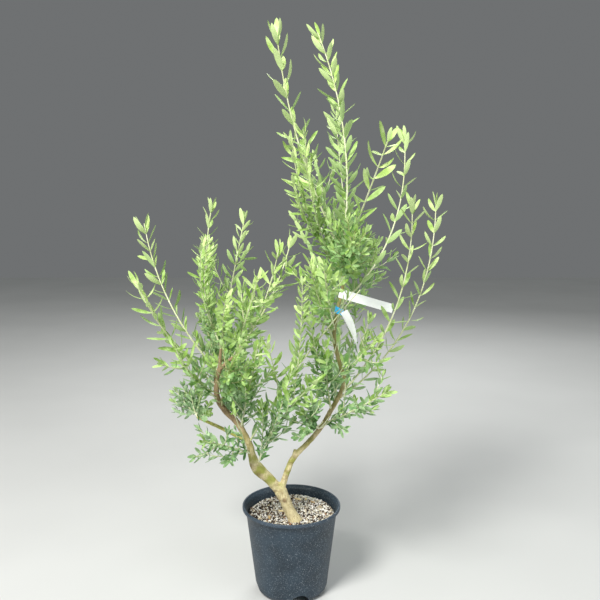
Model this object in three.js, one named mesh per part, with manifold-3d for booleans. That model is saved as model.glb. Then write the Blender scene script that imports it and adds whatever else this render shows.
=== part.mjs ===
// Potted olive tree: a young olive with two leaders, standing in a plain dark nursery pot.
//
// Millimetres, +Z up. The origin is the middle of the pot's flat underside. The tree is described as seen
// from its front: +X runs to the right and +Y to the back.
//
// The trunk leans from a flat cut on the soil to a low fork. Each bough is one tapering limb that ends where
// the foliage takes over. A plume of foliage is one solid: a stem that springs from its limb, side twigs, and
// leaves in crossed pairs. The real tree has about two thousand leaves. Here they are fewer and larger.

import * as THREE from "three";
import { mergeVertices } from "three/addons/utils/BufferGeometryUtils.js";
import Module from "manifold-3d";

const wasm = await Module();
wasm.setup();

// Gap left between two pieces that touch on the real plant, and the length under which an edge is closed up.
const GAP = 0.35;
const SHORTEST_EDGE = 0.03;
const WELD = 1e-4;

// The pot: a moulded tapered tub with a turned-out rim and arched water channels under its floor.
const POT = {
  sides: 36,
  height: 219,
  rimRadius: 120,
  rimDepth: 8,
  rimRoll: 2.6,
  rimUndercut: 0.4,
  rimChamfer: 1.2,
  rimInset: 4,
  bodyRadius: 112.2,
  footRadius: 86.5,
  footRound: 18,
  wall: 2.6,
  floor: 27,
  cove: 4,
};
const CHANNEL = {
  count: 4,
  width: 48,
  height: 24,
  below: 2,
  start: 44,
  length: 56,
  turn: 14,
  arcSteps: 8,
  drain: 5,
  drainAt: 62,
  drainSides: 10,
};

// The soil: level, with its edge fallen away a little at the wall. It stands clear of the pot by its slack.
const SOIL = { level: 196, edgeDrop: 3, edgeWidth: 7, slack: 0.4, cove: 5, coveHeight: 6 };

// Limbs, as stations from foot to tip: where the middle line passes and how thick the wood is there.
const LIMB_SIDES = 8;
const RINGS_PER_SPAN = 2;
const HALVINGS = 20;
const station = (x, y, z, radius) => ({ at: new THREE.Vector3(x, y, z), radius });
const LIMBS = {
  trunk: [
    station(14, -43, 180, 19),
    station(7, -42, 198, 16.5),
    station(3, -41.5, 207, 14),
    station(-5, -40, 222, 13),
    station(-15, -38, 246, 13.2),
    station(-25, -36, 266, 15.5),
    station(-29, -35, 276, 13),
  ],
  left_bough: [
    station(-30, -36, 270, 11.5),
    station(-52, -39, 298, 12.5),
    station(-80, -44, 328, 14.5),
    station(-92, -44, 358, 9.5),
    station(-100, -40, 388, 8),
    station(-128, -25, 433, 7.4),
    station(-158, -15, 461, 7),
    station(-177, -5, 490, 6.8),
    station(-178, 0, 531, 6.2),
    station(-171, 0, 558, 5.8),
  ],
  left_leader: [station(-171, 0, 560, 4.6), station(-169, 0, 583, 4), station(-167, 0, 607, 3.4)],
  left_arm: [station(-169, 0, 558, 4.6), station(-150, 3, 577, 4.2), station(-122, 5, 597, 3.2)],
  side_branch: [station(-100, -40, 390, 5), station(-150, -5, 404, 4.6), station(-233, 60, 419, 3.6)],
  right_bough: [
    station(-24, -35, 268, 8.2),
    station(-13, -33, 304, 7.2),
    station(5, -30, 347, 7),
    station(40, -25, 384, 6.2),
    station(71, -20, 420, 6),
    station(94, -15, 459, 5.8),
    station(113, -12, 493, 5.6),
    station(131, -10, 533, 6.2),
  ],
  right_leader: [
    station(130, -10, 531, 5.4),
    station(112, -10, 586, 4.8),
    station(102, -8, 641, 4.4),
    station(109, -5, 701, 4.2),
    station(122, 0, 761, 3.8),
    station(119, 0, 808, 3.4),
    station(121, 0, 855, 2.8),
  ],
};
// What each limb springs from. It is cut back to stand a gap away from it.
const CARRIED_BY = {
  left_bough: ["trunk"],
  right_bough: ["trunk", "left_bough"],
  left_leader: ["left_bough"],
  left_arm: ["left_bough", "left_leader"],
  side_branch: ["left_bough"],
  right_leader: ["right_bough"],
};
// The cut-off stub where an old shoot was pruned from the right bough, pointing up.
const PRUNED_STUB = { foot: [3, -31, 340], tip: [10, -31, 369], radius: 4.7, tipRadius: 4 };
// The block that is taken off the trunk below the soil.
const CUT_BLOCK = { width: 200, depth: 100 };

// Leaves and stems. A leaf here is a blade of six faces, larger than the real one by its growth, and its
// pairs are set further apart. Widths and thicknesses are shares of its length. Leaves shrink over the last
// part of a shoot, and its last pair is the smallest.
const LEAF = {
  growth: 1.6,
  width: 0.22,
  thickness: 0.035,
  widest: 0.46,
  arch: 0.04,
  bareFoot: 16,
  shrinkFrom: 0.7,
  shrinkBy: 0.45,
  lastPair: 0.5,
  sizeScatter: 0.2,
};
const PAIR_STEP = 70;
const SHOOT_END = 0.995;
const STEM = { sides: 3, foot: 2.5, tip: 1.3, step: 75, twigShare: 0.75 };
// A leaf leaves its stem at this angle, wide at the foot of the shoot and closed at its tip.
const LEAF_ANGLE = { foot: 52, tip: 22, scatter: 8 };
// Twigs stand round their stem by the golden angle and sag a little.
const TWIG = { length: 95, lengthScatter: 0.4, angle: 48, first: 0.14, last: 0.62, sag: 0.06, leaf: 0.85 };
const GOLDEN_ANGLE = 137.5;

// The plumes. Each springs from a limb at the height "from" and reaches its tip, and "bow" is how far its
// middle stands off the straight line between them. "leaf" is a real leaf's length, "twigs" counts the short
// side twigs, and "side" lists long side shoots: the share of the stem where each starts, its tip and its bow.
function plume(name, limb, from, tip, bow, leaf, twigs, side = []) {
  return { name, limb, from, tip, bow, leaf, twigs, side };
}

const PLUMES = [
  plume("left_edge_plume", "left_bough", 518, [-349, -130, 790], [-16, 2, -9], 48, 0),
  plume("left_high_plume", "left_bough", 551, [-373, 110, 895], [-27, 0, -15], 48, 0),
  plume("left_low_plume", "left_bough", 487, [-267, -190, 644], [-11, 0, -6], 42, 0),
  plume("left_crest", "left_leader", 607, [-180, 20, 937], [-22, 0, -2], 42, 0, [
    [0.12, [-192, -110, 864], [-17, 1, -2]],
    [0.16, [-199, 150, 829], [-11, 1, -3]],
  ]),
  plume("left_inner_plume", "left_leader", 590, [-121, 200, 907], [-4, 3, -2], 45, 1, [
    [0.1, [-137, -160, 757], [-2, 1, 2]],
  ]),
  plume("left_mid_front_plume", "left_arm", 586, [-68, -170, 802], [3, 1, 1], 42, 0),
  plume("left_mid_plume", "left_arm", 597, [-27, -60, 849], [11, 1, -4], 46, 0),
  plume("left_mid_back_plume", "left_arm", 577, [19, 120, 857], [23, 1, -11], 50, 0),
  plume("left_heart_front", "left_bough", 470, [-110, -180, 640], [-8, -6, 6], 34, 3),
  plume("left_heart_back", "left_bough", 500, [-215, 230, 700], [-6, 10, -6], 40, 3),
  plume("left_heart_far", "left_leader", 572, [-85, 260, 700], [4, 14, -8], 40, 3),
  plume("left_heart_low", "left_bough", 440, [-128, 200, 525], [2, 12, -8], 36, 3),
  plume("left_rising_plume", "left_bough", 388, [153, -110, 765], [-9, 1, 7], 52, 0, [
    [0.32, [-52, -160, 657], [3, 1, 1]],
  ]),
  plume("middle_plume", "left_bough", 331, [61, -130, 567], [-7, 1, 6], 46, 0, [
    [0.68, [26, -150, 786], [6, 1, 0]],
  ]),
  plume("left_upright_plume", "left_bough", 421, [-72, -120, 644], [0, 1, 0], 44, 1),
  plume("left_upright_back_plume", "left_bough", 410, [-126, 60, 591], [-4, 1, -2], 40, 2),
  plume("left_lowest_plume", "left_bough", 364, [-186, -205, 452], [-2, 2, 2], 44, 1),
  plume("left_far_tuft", "side_branch", 419, [-270, 130, 462], [-4, 2, -2], 34, 3),
  plume("right_tallest_plume", "right_leader", 836, [-30, -40, 1336], [-23, 1, -7], 50, 0, [
    [0.4, [28, -72, 1112], [2, 0, 0]],
  ]),
  plume("right_tall_plume", "right_leader", 853, [62, 50, 1336], [32, 0, 4], 50, 0, [
    [0.14, [110, 170, 1171], [-2, 2, -1]],
  ]),
  plume("right_front_tall_plume", "right_leader", 774, [5, -170, 1085], [-22, 4, -6], 46, 0),
  plume("right_near_plume", "right_leader", 822, [190, -300, 1108], [5, 6, 6], 58, 0),
  plume("right_back_plume", "right_leader", 712, [280, 190, 1128], [48, 2, -33], 50, 0),
  plume("right_outer_plume", "right_bough", 496, [251, -120, 955], [47, 2, -16], 50, 0),
  plume("right_edge_plume", "right_bough", 485, [345, 60, 952], [58, 0, -39], 48, 0),
  plume("right_elbow_plume", "right_leader", 544, [189, -160, 668], [0, 2, 2], 44, 0),
  plume("right_mid_plume", "right_bough", 461, [77, -100, 639], [-3, 1, 0], 42, 2),
  plume("right_inner_back_plume", "right_leader", 682, [-5, 210, 907], [7, 3, 0], 44, 1),
  plume("right_inner_front_plume", "right_leader", 619, [41, -120, 828], [-4, 2, -1], 44, 1),
  plume("right_low_plume", "right_bough", 429, [208, -200, 562], [4, 1, -3], 42, 2),
  plume("right_lowest_plume", "right_bough", 416, [14, -120, 478], [-1, 0, 0], 36, 0),
  plume("right_heart_back", "right_leader", 758, [150, 260, 930], [0, 14, -6], 42, 3),
  plume("right_heart_far", "right_leader", 640, [60, 250, 800], [-4, 12, -8], 42, 2),
  plume("right_low_back", "right_bough", 470, [130, 240, 600], [4, 12, -10], 42, 2),
  plume("right_side_back", "right_leader", 668, [225, 200, 850], [8, 8, -10], 42, 2),
  plume("right_heart_front", "right_leader", 790, [135, -190, 900], [2, -8, -4], 42, 3),
  plume("right_side_front", "right_leader", 655, [70, -200, 830], [-2, -8, -4], 42, 2),
  plume("right_high_back", "right_leader", 800, [60, 180, 1060], [-2, 6, -4], 44, 1),
];

// The blank labels looped round the right leader: a long strip, and a clip with a curved tail. A loop runs
// from one angle to another, and the lap where it closes is a share of its radius.
const LABEL = { thickness: 0.8, slack: 1.3, loopStart: -40, loopEnd: 270, lap: 0.7, arcSteps: 5 };
const STRIP = { from: 741, reach: 128, height: 20, droop: -0.27 };
const CLIP = { from: 702, reach: 14, height: 15, droop: -0.35 };
// The tail's edges bend through these shares of "out" and "drop", and its shoulder is a share of its width.
const TAIL = {
  right: 7,
  below: 6,
  drop: 78,
  out: 38,
  width: 19,
  clear: 0.9,
  innerBend: [0.45, 0.35],
  outerBend: [1.1, 0.4],
  shoulder: [0.8, 0.45],
  arcSteps: 6,
};

// The way the first corner of a tube faces, and the way that a stem's leaves are turned from.
const FIRST_CORNER = new THREE.Vector3(1, 0.2, 0);
const BACKWARDS = new THREE.Vector3(0, 1, 0.01);

const radians = THREE.MathUtils.degToRad;
const vector = (list) => new THREE.Vector3(...list);

// Seeded draws from 0 to 1, so that the tree grows the same way each time.
const DRAW = { seedFactor: 7919, seedStart: 12345, factor: 1664525, step: 1013904223, range: 2 ** 32 };

function seededDraws(seed) {
  let state = (seed * DRAW.seedFactor + DRAW.seedStart) >>> 0;
  const next = () => {
    state = (Math.imul(state, DRAW.factor) + DRAW.step) >>> 0;
    return state / DRAW.range;
  };
  next();
  next();
  return next;
}

// A closed three.js geometry as a solid for joining and cutting.
function solidOf(geometry) {
  const bare = geometry.clone();
  bare.deleteAttribute("normal");
  bare.deleteAttribute("uv");
  const merged = mergeVertices(bare, WELD);
  const mesh = new wasm.Mesh({
    numProp: 3,
    vertProperties: merged.attributes.position.array,
    triVerts: new Uint32Array(merged.index.array),
  });
  return new wasm.Manifold(mesh);
}

// The largest body of a solid, without loose scraps and with any sealed hollow filled.
function largestBody(solid) {
  const bodies = solid.decompose();
  return bodies.reduce((best, body) => (body.volume() > best.volume() ? body : best));
}

// The surface of a solid, with edges too short to matter closed up.
function weldedSurface(solid) {
  const mesh = solid.getMesh();
  const points = [];
  for (let i = 0; i < mesh.numVert; i++) {
    points.push(new THREE.Vector3().fromArray(mesh.vertProperties, i * mesh.numProp));
  }
  const corners = mesh.triVerts;
  const joinedTo = points.map((_, i) => i);
  const standIn = (i) => {
    while (joinedTo[i] !== i) i = joinedTo[i];
    return i;
  };
  for (let i = 0; i < corners.length; i++) {
    const next = i % 3 === 2 ? i - 2 : i + 1;
    const a = standIn(corners[i]);
    const b = standIn(corners[next]);
    if (a !== b && points[a].distanceTo(points[b]) < SHORTEST_EDGE) joinedTo[b] = a;
  }
  const triangles = [];
  for (let i = 0; i < corners.length; i += 3) {
    const [a, b, c] = [standIn(corners[i]), standIn(corners[i + 1]), standIn(corners[i + 2])];
    if (a !== b && b !== c && c !== a) triangles.push([a, b, c]);
  }
  return facets(points, triangles);
}

// A solid as a three.js geometry. Closing short edges can pinch off a scrap, which is dropped.
function geometryOf(solid) {
  const mesh = largestBody(solidOf(weldedSurface(solid))).getMesh();
  const geometry = new THREE.BufferGeometry();
  geometry.setAttribute("position", new THREE.BufferAttribute(mesh.vertProperties, 3));
  geometry.setIndex(new THREE.BufferAttribute(mesh.triVerts, 1));
  return geometry;
}

// A geometry from corner points and triangles.
function facets(points, triangles) {
  const geometry = new THREE.BufferGeometry();
  geometry.setAttribute("position", new THREE.Float32BufferAttribute(points.flatMap((p) => p.toArray()), 3));
  geometry.setIndex(triangles.flat());
  return geometry;
}

// A closed tube along a curve, thinning as radiusAt says, with flat ends square to it.
function taperedTube(curve, radiusAt, sides, steps) {
  const points = [];
  const triangles = [];
  let across = FIRST_CORNER;
  for (let ring = 0; ring <= steps; ring++) {
    const share = ring / steps;
    const middle = curve.getPoint(share);
    const along = curve.getTangent(share);
    across = across.clone().addScaledVector(along, -across.dot(along)).normalize();
    const beside = along.clone().cross(across);
    for (let side = 0; side < sides; side++) {
      const turn = (2 * Math.PI * side) / sides;
      const out = across.clone().multiplyScalar(Math.cos(turn)).addScaledVector(beside, Math.sin(turn));
      points.push(middle.clone().addScaledVector(out, radiusAt(share)));
    }
  }
  for (let ring = 0; ring < steps; ring++) {
    for (let side = 0; side < sides; side++) {
      const a = ring * sides + side;
      const b = ring * sides + ((side + 1) % sides);
      triangles.push([a, b, b + sides], [a, b + sides, a + sides]);
    }
  }
  const last = steps * sides;
  for (let side = 1; side < sides - 1; side++) {
    triangles.push([0, side + 1, side], [last, last + side, last + side + 1]);
  }
  return facets(points, triangles);
}

// The middle line of a limb, and its tube made thicker by extra.
function limbLine(stations) {
  return new THREE.CatmullRomCurve3(stations.map((s) => s.at), false, "catmullrom");
}

function limbTube(stations, extra = 0) {
  const spans = stations.length - 1;
  const radiusAt = (share) => {
    const span = Math.min(Math.floor(share * spans), spans - 1);
    const radius = THREE.MathUtils.lerp(stations[span].radius, stations[span + 1].radius, share * spans - span);
    return radius + extra;
  };
  return taperedTube(limbLine(stations), radiusAt, LIMB_SIDES, spans * RINGS_PER_SPAN);
}

// The point on a limb's middle line at a given height.
function pointAtHeight(stations, height) {
  const line = limbLine(stations);
  let low = 0;
  let high = 1;
  for (let halving = 0; halving < HALVINGS; halving++) {
    const middle = (low + high) / 2;
    if (line.getPoint(middle).z < height) low = middle;
    else high = middle;
  }
  return line.getPoint(low);
}

// Pot and soil.
function turned(profile) {
  const geometry = new THREE.LatheGeometry(profile.map(([r, z]) => new THREE.Vector2(r, z)), POT.sides);
  return geometry.rotateX(Math.PI / 2);
}

// Outer radius of the pot's body at a height.
function bodyRadiusAt(z) {
  return THREE.MathUtils.lerp(POT.footRadius, POT.bodyRadius, z / (POT.height - POT.rimDepth));
}

// Points of a quarter round, from one angle to another in degrees.
function roundCorner(r, z, radius, from, to, steps) {
  const points = [];
  for (let i = 0; i <= steps; i++) {
    const turn = radians(THREE.MathUtils.lerp(from, to, i / steps));
    points.push([r + radius * Math.cos(turn), z + radius * Math.sin(turn)]);
  }
  return points;
}

// One water channel: an arched tunnel that runs outwards under the floor, with a drain up through the floor.
function channelCutters(turn) {
  const arch = new THREE.Shape();
  arch.moveTo(-CHANNEL.width / 2, -CHANNEL.below);
  arch.lineTo(CHANNEL.width / 2, -CHANNEL.below);
  arch.absellipse(0, 0, CHANNEL.width / 2, CHANNEL.height, 0, Math.PI, false);
  const options = { depth: CHANNEL.length, bevelEnabled: false, curveSegments: CHANNEL.arcSteps };
  const tunnel = new THREE.ExtrudeGeometry(arch, options);
  tunnel.rotateX(Math.PI / 2).translate(0, -CHANNEL.start, 0).rotateZ(turn);
  const drain = new THREE.CylinderGeometry(CHANNEL.drain, CHANNEL.drain, 3 * POT.floor, CHANNEL.drainSides);
  drain.rotateX(Math.PI / 2).translate(0, -CHANNEL.drainAt, 0).rotateZ(turn);
  return [tunnel, drain].map(solidOf);
}

function potSolid() {
  const under = POT.height - POT.rimDepth;
  const roll = POT.rimRoll;
  const round = POT.footRound;
  const innerRadiusAt = (z) => bodyRadiusAt(z) - POT.wall;
  const profile = [
    [0, 0],
    ...roundCorner(bodyRadiusAt(round) - round, round, round, -90, 0, 3),
    [POT.bodyRadius, under - POT.rimUndercut],
    [POT.rimRadius - POT.rimChamfer, under],
    ...roundCorner(POT.rimRadius - roll, POT.height - roll, roll, 0, 180, 4),
    [innerRadiusAt(under), under - POT.rimInset],
    [innerRadiusAt(POT.floor + POT.cove), POT.floor + POT.cove],
    [innerRadiusAt(POT.floor) - POT.cove, POT.floor],
    [0, POT.floor],
  ];
  let pot = solidOf(turned(profile));
  for (let i = 0; i < CHANNEL.count; i++) {
    for (const cutter of channelCutters(radians(CHANNEL.turn + (360 / CHANNEL.count) * i))) {
      pot = pot.subtract(cutter);
    }
  }
  return pot;
}

function soilSolid() {
  const insideAt = (z) => bodyRadiusAt(z) - POT.wall - GAP - SOIL.slack;
  const bottom = POT.floor + GAP;
  const shoulder = bottom + SOIL.coveHeight;
  const edge = SOIL.level - SOIL.edgeDrop;
  return solidOf(
    turned([
      [0, bottom],
      [insideAt(bottom) - SOIL.cove, bottom],
      [insideAt(shoulder), shoulder],
      [insideAt(edge), edge],
      [insideAt(edge) - SOIL.edgeWidth, SOIL.level],
      [0, SOIL.level],
    ]),
  );
}

// Limbs, each cut back by GAP from the one that carries it. The trunk is cut level where it meets the soil.
function limbSolids() {
  const solids = {};
  const soilBlock = new THREE.BoxGeometry(CUT_BLOCK.width, CUT_BLOCK.width, CUT_BLOCK.depth);
  soilBlock.translate(0, 0, SOIL.level + GAP - CUT_BLOCK.depth / 2);
  for (const [name, stations] of Object.entries(LIMBS)) {
    let limb = solidOf(limbTube(stations));
    for (const carrier of CARRIED_BY[name] ?? []) {
      limb = largestBody(limb.subtract(solidOf(limbTube(LIMBS[carrier], GAP))));
    }
    solids[name] = name === "trunk" ? limb.subtract(solidOf(soilBlock)) : limb;
  }
  const stubLine = new THREE.LineCurve3(vector(PRUNED_STUB.foot), vector(PRUNED_STUB.tip));
  const stubRadius = (share) => THREE.MathUtils.lerp(PRUNED_STUB.radius, PRUNED_STUB.tipRadius, share);
  solids.right_bough = solids.right_bough.add(solidOf(taperedTube(stubLine, stubRadius, LIMB_SIDES, 1)));
  return solids;
}

// Labels. The loop of a band fits the leader at a height, with a little slack.
function loopRadius(height) {
  const stations = LIMBS.right_leader;
  const above = stations.findIndex((s) => s.at.z > height);
  const share = (height - stations[above - 1].at.z) / (stations[above].at.z - stations[above - 1].at.z);
  return THREE.MathUtils.lerp(stations[above - 1].radius, stations[above].radius, share) * LABEL.slack;
}

// A band in plan: a loop round the leader that runs out to the right. It leans with the leader and droops.
function bandSolid({ from, reach, height, droop }) {
  const centre = pointAtHeight(LIMBS.right_leader, from);
  const lean = pointAtHeight(LIMBS.right_leader, from + height / 2)
    .sub(pointAtHeight(LIMBS.right_leader, from - height / 2))
    .divideScalar(height);
  const inner = loopRadius(from);
  const outer = inner + LABEL.thickness;
  const plan = new THREE.Shape();
  plan.moveTo(reach, -outer);
  plan.lineTo(reach, -inner);
  plan.lineTo(LABEL.lap * outer, -inner);
  plan.absarc(0, 0, outer, radians(LABEL.loopStart), radians(LABEL.loopEnd), false);
  plan.lineTo(reach, -outer);
  const eye = new THREE.Path();
  eye.absarc(0, 0, inner, 0, 2 * Math.PI, true);
  plan.holes.push(eye);
  const options = { depth: height, bevelEnabled: false, curveSegments: LABEL.arcSteps };
  const band = new THREE.ExtrudeGeometry(plan, options);
  band.translate(0, 0, -height / 2);
  band.applyMatrix4(new THREE.Matrix4().makeShear(0, droop, 0, 0, 0, 0));
  band.applyMatrix4(new THREE.Matrix4().makeShear(0, 0, 0, 0, lean.x, lean.y));
  return solidOf(band.translate(centre.x, centre.y, centre.z));
}

// The clip's tail: a curved blade in front of the clip that hangs down and out, and narrows to its end.
function tailSolid() {
  const clip = pointAtHeight(LIMBS.right_leader, CLIP.from);
  const front = loopRadius(CLIP.from) + LABEL.thickness + TAIL.clear;
  const bend = ([out, drop]) => [TAIL.out * out, -TAIL.drop * drop];
  const [shoulderOut, shoulderUp] = TAIL.shoulder.map((share) => TAIL.width * share);
  const outline = new THREE.Shape();
  outline.moveTo(0, 0);
  outline.quadraticCurveTo(...bend(TAIL.innerBend), TAIL.out, -TAIL.drop);
  outline.quadraticCurveTo(...bend(TAIL.outerBend), shoulderOut, shoulderUp);
  outline.lineTo(0, 0);
  const options = { depth: LABEL.thickness, bevelEnabled: false, curveSegments: TAIL.arcSteps };
  const blade = new THREE.ExtrudeGeometry(outline, options);
  blade.rotateX(Math.PI / 2);
  return solidOf(blade.translate(clip.x + TAIL.right, clip.y - front, clip.z - TAIL.below));
}

// Foliage. A stem's middle line is a quadratic curve whose middle stands off the straight line by bow.
function stemLine(foot, tip, bow) {
  const bend = foot.clone().add(tip).multiplyScalar(0.5).addScaledVector(bow, 2);
  return new THREE.QuadraticBezierCurve3(foot, bend, tip);
}

function stemTube(line, share, extra = 0) {
  const steps = Math.max(2, Math.round(line.getLength() / STEM.step));
  const radiusAt = (along) => THREE.MathUtils.lerp(STEM.foot, STEM.tip, along) * share + extra;
  return taperedTube(line, radiusAt, STEM.sides, steps);
}

// The direction that stands out square from a stem, turned round it by an angle in degrees.
function outwards(along, turn) {
  const level = along.clone().cross(BACKWARDS).normalize();
  const other = level.clone().cross(along);
  return level.multiplyScalar(Math.cos(radians(turn))).addScaledVector(other, Math.sin(radians(turn)));
}

// A blade from its root to its tip: flat faces above and a keel below, grown by extra on all sides.
function leafBlade(root, along, across, length, extra = 0) {
  const face = along.clone().cross(across);
  const middle = root.clone().addScaledVector(along, length * LEAF.widest);
  middle.addScaledVector(face, length * LEAF.arch);
  const halfWidth = (length * LEAF.width) / 2 + extra;
  const keelDepth = length * LEAF.thickness + 2 * extra;
  const rise = face.clone().multiplyScalar(extra);
  const points = [
    root.clone().addScaledVector(along, -extra).add(rise),
    root.clone().addScaledVector(along, length + extra).add(rise),
    middle.clone().addScaledVector(across, halfWidth).add(rise),
    middle.clone().addScaledVector(across, -halfWidth).add(rise),
    middle.clone().addScaledVector(face, -keelDepth).add(rise),
  ];
  const triangles = [
    [0, 3, 2],
    [1, 2, 3],
    [0, 2, 4],
    [0, 4, 3],
    [1, 4, 2],
    [1, 3, 4],
  ];
  return facets(points, triangles);
}

// Where the leaves of one shoot go: crossed pairs from above its bare foot to its tip.
function leafPlaces(line, leafLength, draw) {
  const places = [];
  const scatter = (range) => range * (draw() - 0.5);
  const length = line.getLength();
  const pairs = Math.max(1, Math.round((length - LEAF.bareFoot) / PAIR_STEP));
  const firstTurn = 180 * draw();
  for (let pair = 0; pair <= pairs; pair++) {
    const share = THREE.MathUtils.lerp(LEAF.bareFoot / length, 1, (pair + 0.5) / (pairs + 0.5));
    const at = line.getPointAt(Math.min(share, SHOOT_END));
    const along = line.getTangentAt(Math.min(share, SHOOT_END));
    const shrink = 1 - LEAF.shrinkBy * Math.max(0, share - LEAF.shrinkFrom);
    const size = leafLength * (pair === pairs ? LEAF.lastPair : LEAF.growth * shrink);
    for (const side of [0, 180]) {
      const out = outwards(along, firstTurn + 90 * pair + side + scatter(LEAF_ANGLE.scatter));
      const opening = THREE.MathUtils.lerp(LEAF_ANGLE.foot, LEAF_ANGLE.tip, share);
      const open = radians(opening + scatter(LEAF_ANGLE.scatter));
      const leafAlong = along.clone().multiplyScalar(Math.cos(open)).addScaledVector(out, Math.sin(open));
      const across = along.clone().cross(out);
      places.push({ root: at, along: leafAlong, across, length: size * (1 + scatter(LEAF.sizeScatter)) });
    }
  }
  return places;
}

// The shoots of one plume: its stem, its long side shoots and its short twigs.
function shootsOf(row, draw) {
  const foot = pointAtHeight(LIMBS[row.limb], row.from);
  const stem = stemLine(foot, vector(row.tip), vector(row.bow));
  const shoots = [{ line: stem, share: 1, leaf: row.leaf }];
  for (const [share, tip, bow] of row.side) {
    const line = stemLine(stem.getPoint(share), vector(tip), vector(bow));
    shoots.push({ line, share: STEM.twigShare, leaf: row.leaf });
  }
  const firstTurn = 360 * draw();
  for (let i = 0; i < row.twigs; i++) {
    const share = THREE.MathUtils.lerp(TWIG.first, TWIG.last, (i + 0.5) / row.twigs);
    const root = stem.getPointAt(share);
    const along = stem.getTangentAt(share);
    const out = outwards(along, firstTurn + GOLDEN_ANGLE * i);
    const open = radians(TWIG.angle);
    const heading = along.multiplyScalar(Math.cos(open)).addScaledVector(out, Math.sin(open));
    const length = TWIG.length * (1 + TWIG.lengthScatter * (draw() - 0.5));
    const tip = root.clone().addScaledVector(heading, length);
    const bow = new THREE.Vector3(0, 0, -TWIG.sag * length);
    shoots.push({ line: stemLine(root, tip, bow), share: STEM.twigShare, leaf: TWIG.leaf * row.leaf });
  }
  return shoots;
}

// Whether a solid meets any of the others.
function meets(solid, box, others) {
  return others.some((other) => {
    if (!other.box.intersectsBox(box)) return false;
    const common = solid.intersect(other.solid);
    const apart = common.isEmpty();
    common.delete();
    return !apart;
  });
}

// A piece with the box that it lies in, for meets.
function placed(geometry, owner) {
  geometry.computeBoundingBox();
  return { solid: solidOf(geometry), box: geometry.boundingBox.clone(), owner };
}

// All plumes. Stems come first, then twigs, then leaves pair by pair from the feet up, so that no plume takes
// the space of another. A twig or leaf that would touch a limb, a label or another plume is left out.
function plumeSolids(fixed) {
  const grown = PLUMES.map((row, index) => {
    const draw = seededDraws(index + 1);
    return { row, draw, shoots: shootsOf(row, draw), parts: [] };
  });
  const taken = [...fixed];
  const crossed = [];
  const most = Math.max(...grown.map((g) => g.shoots.length));
  for (let turn = 0; turn < most; turn++) {
    for (const plant of grown) {
      const shoot = plant.shoots[turn];
      if (!shoot) continue;
      const wide = placed(stemTube(shoot.line, shoot.share, GAP), plant);
      const rivals = taken.filter((t) => t.owner !== plant && t.owner !== plant.row.limb);
      const blocked = meets(wide.solid, wide.box, rivals);
      if (blocked && turn === 0) {
        const rival = rivals.find((t) => meets(wide.solid, wide.box, [t]));
        crossed.push(plant.row.name + " meets " + (rival.owner.row ? rival.owner.row.name : rival.owner));
      }
      if (blocked) continue;
      const stem = placed(stemTube(shoot.line, shoot.share), plant);
      plant.parts.push(stem.solid);
      taken.push(stem);
      shoot.leaves = leafPlaces(shoot.line, shoot.leaf, plant.draw);
    }
  }
  if (crossed.length) throw new Error("main stems cross: " + crossed.join(", "));
  const leaves = grown.flatMap((plant) =>
    plant.shoots.flatMap((shoot) => (shoot.leaves ?? []).map((leaf, order) => ({ plant, leaf, order }))),
  );
  leaves.sort((a, b) => a.order - b.order);
  for (const { plant, leaf } of leaves) {
    const blade = (extra) => leafBlade(leaf.root, leaf.along, leaf.across, leaf.length, extra);
    const wide = placed(blade(GAP), plant);
    const rivals = taken.filter((t) => t.owner !== plant);
    if (meets(wide.solid, wide.box, rivals)) continue;
    const piece = placed(blade(0), plant);
    plant.parts.push(piece.solid);
    taken.push(piece);
  }
  return grown.map((plant) => {
    const clearance = solidOf(limbTube(LIMBS[plant.row.limb], GAP));
    const joined = wasm.Manifold.union(plant.parts).subtract(clearance);
    return [plant.row.name, largestBody(joined)];
  });
}

// Finishes, with colours as they look in daylight.
const finish = (color, roughness) => new THREE.MeshStandardMaterial({ color, roughness, metalness: 0 });
const COLOURS = {
  pot: "#2f3a44",
  soil: "#8d7f6d",
  trunk: "#b5a468",
  bough: "#8f7d58",
  leafYoung: "#9dbb5c",
  leafOld: "#6f9a5c",
  label: "#eef0f2",
  clip: "#38b4e6",
};

function meshOf(name, solid, material) {
  const geometry = geometryOf(solid);
  const mesh = new THREE.Mesh(geometry, material);
  mesh.name = name;
  return mesh;
}

const limbs = limbSolids();
const labels = {
  label_strip: bandSolid(STRIP),
  label_clip: bandSolid(CLIP),
  label_tail: tailSolid(),
};

const container = new THREE.Group();
container.add(meshOf("pot", potSolid(), finish(COLOURS.pot, 0.7)));
container.add(meshOf("soil", soilSolid(), finish(COLOURS.soil, 0.95)));

const wood = new THREE.Group();
for (const [name, solid] of Object.entries(limbs)) {
  const colour = name === "trunk" ? COLOURS.trunk : COLOURS.bough;
  wood.add(meshOf(name, solid, finish(colour, 0.85)));
}

const tags = new THREE.Group();
for (const [name, solid] of Object.entries(labels)) {
  const colour = name === "label_clip" ? COLOURS.clip : COLOURS.label;
  tags.add(meshOf(name, solid, finish(colour, 0.6)));
}

const standing = [...wood.children, ...tags.children];
const fixed = standing.map((mesh) => placed(mesh.geometry, mesh.name));

const foliage = new THREE.Group();
for (const [name, solid] of plumeSolids(fixed)) {
  const colour = name.includes("heart") ? COLOURS.leafOld : COLOURS.leafYoung;
  foliage.add(meshOf(name, solid, finish(colour, 0.6)));
}

const tree = new THREE.Group();
tree.name = "potted_olive_tree";
tree.add(container, wood, tags, foliage);

export default tree;
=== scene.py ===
# %% [markdown]
# A young potted olive tree.
#
# The real plant has a short leaning trunk, two leaders, and upright shoots with narrow leaves in crossed
# pairs. It stands in a plain dark nursery pot filled with pumice grit. The solids of the part are loaded as
# a fixed frame, and each of them is replaced here by a finer mesh in the same place. Lengths are written in
# millimetres and turned to metres when a mesh is made.

# %% Load the frame
import itertools
import math
from types import SimpleNamespace as Values

import bpy
import numpy as np
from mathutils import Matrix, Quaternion, noise


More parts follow.
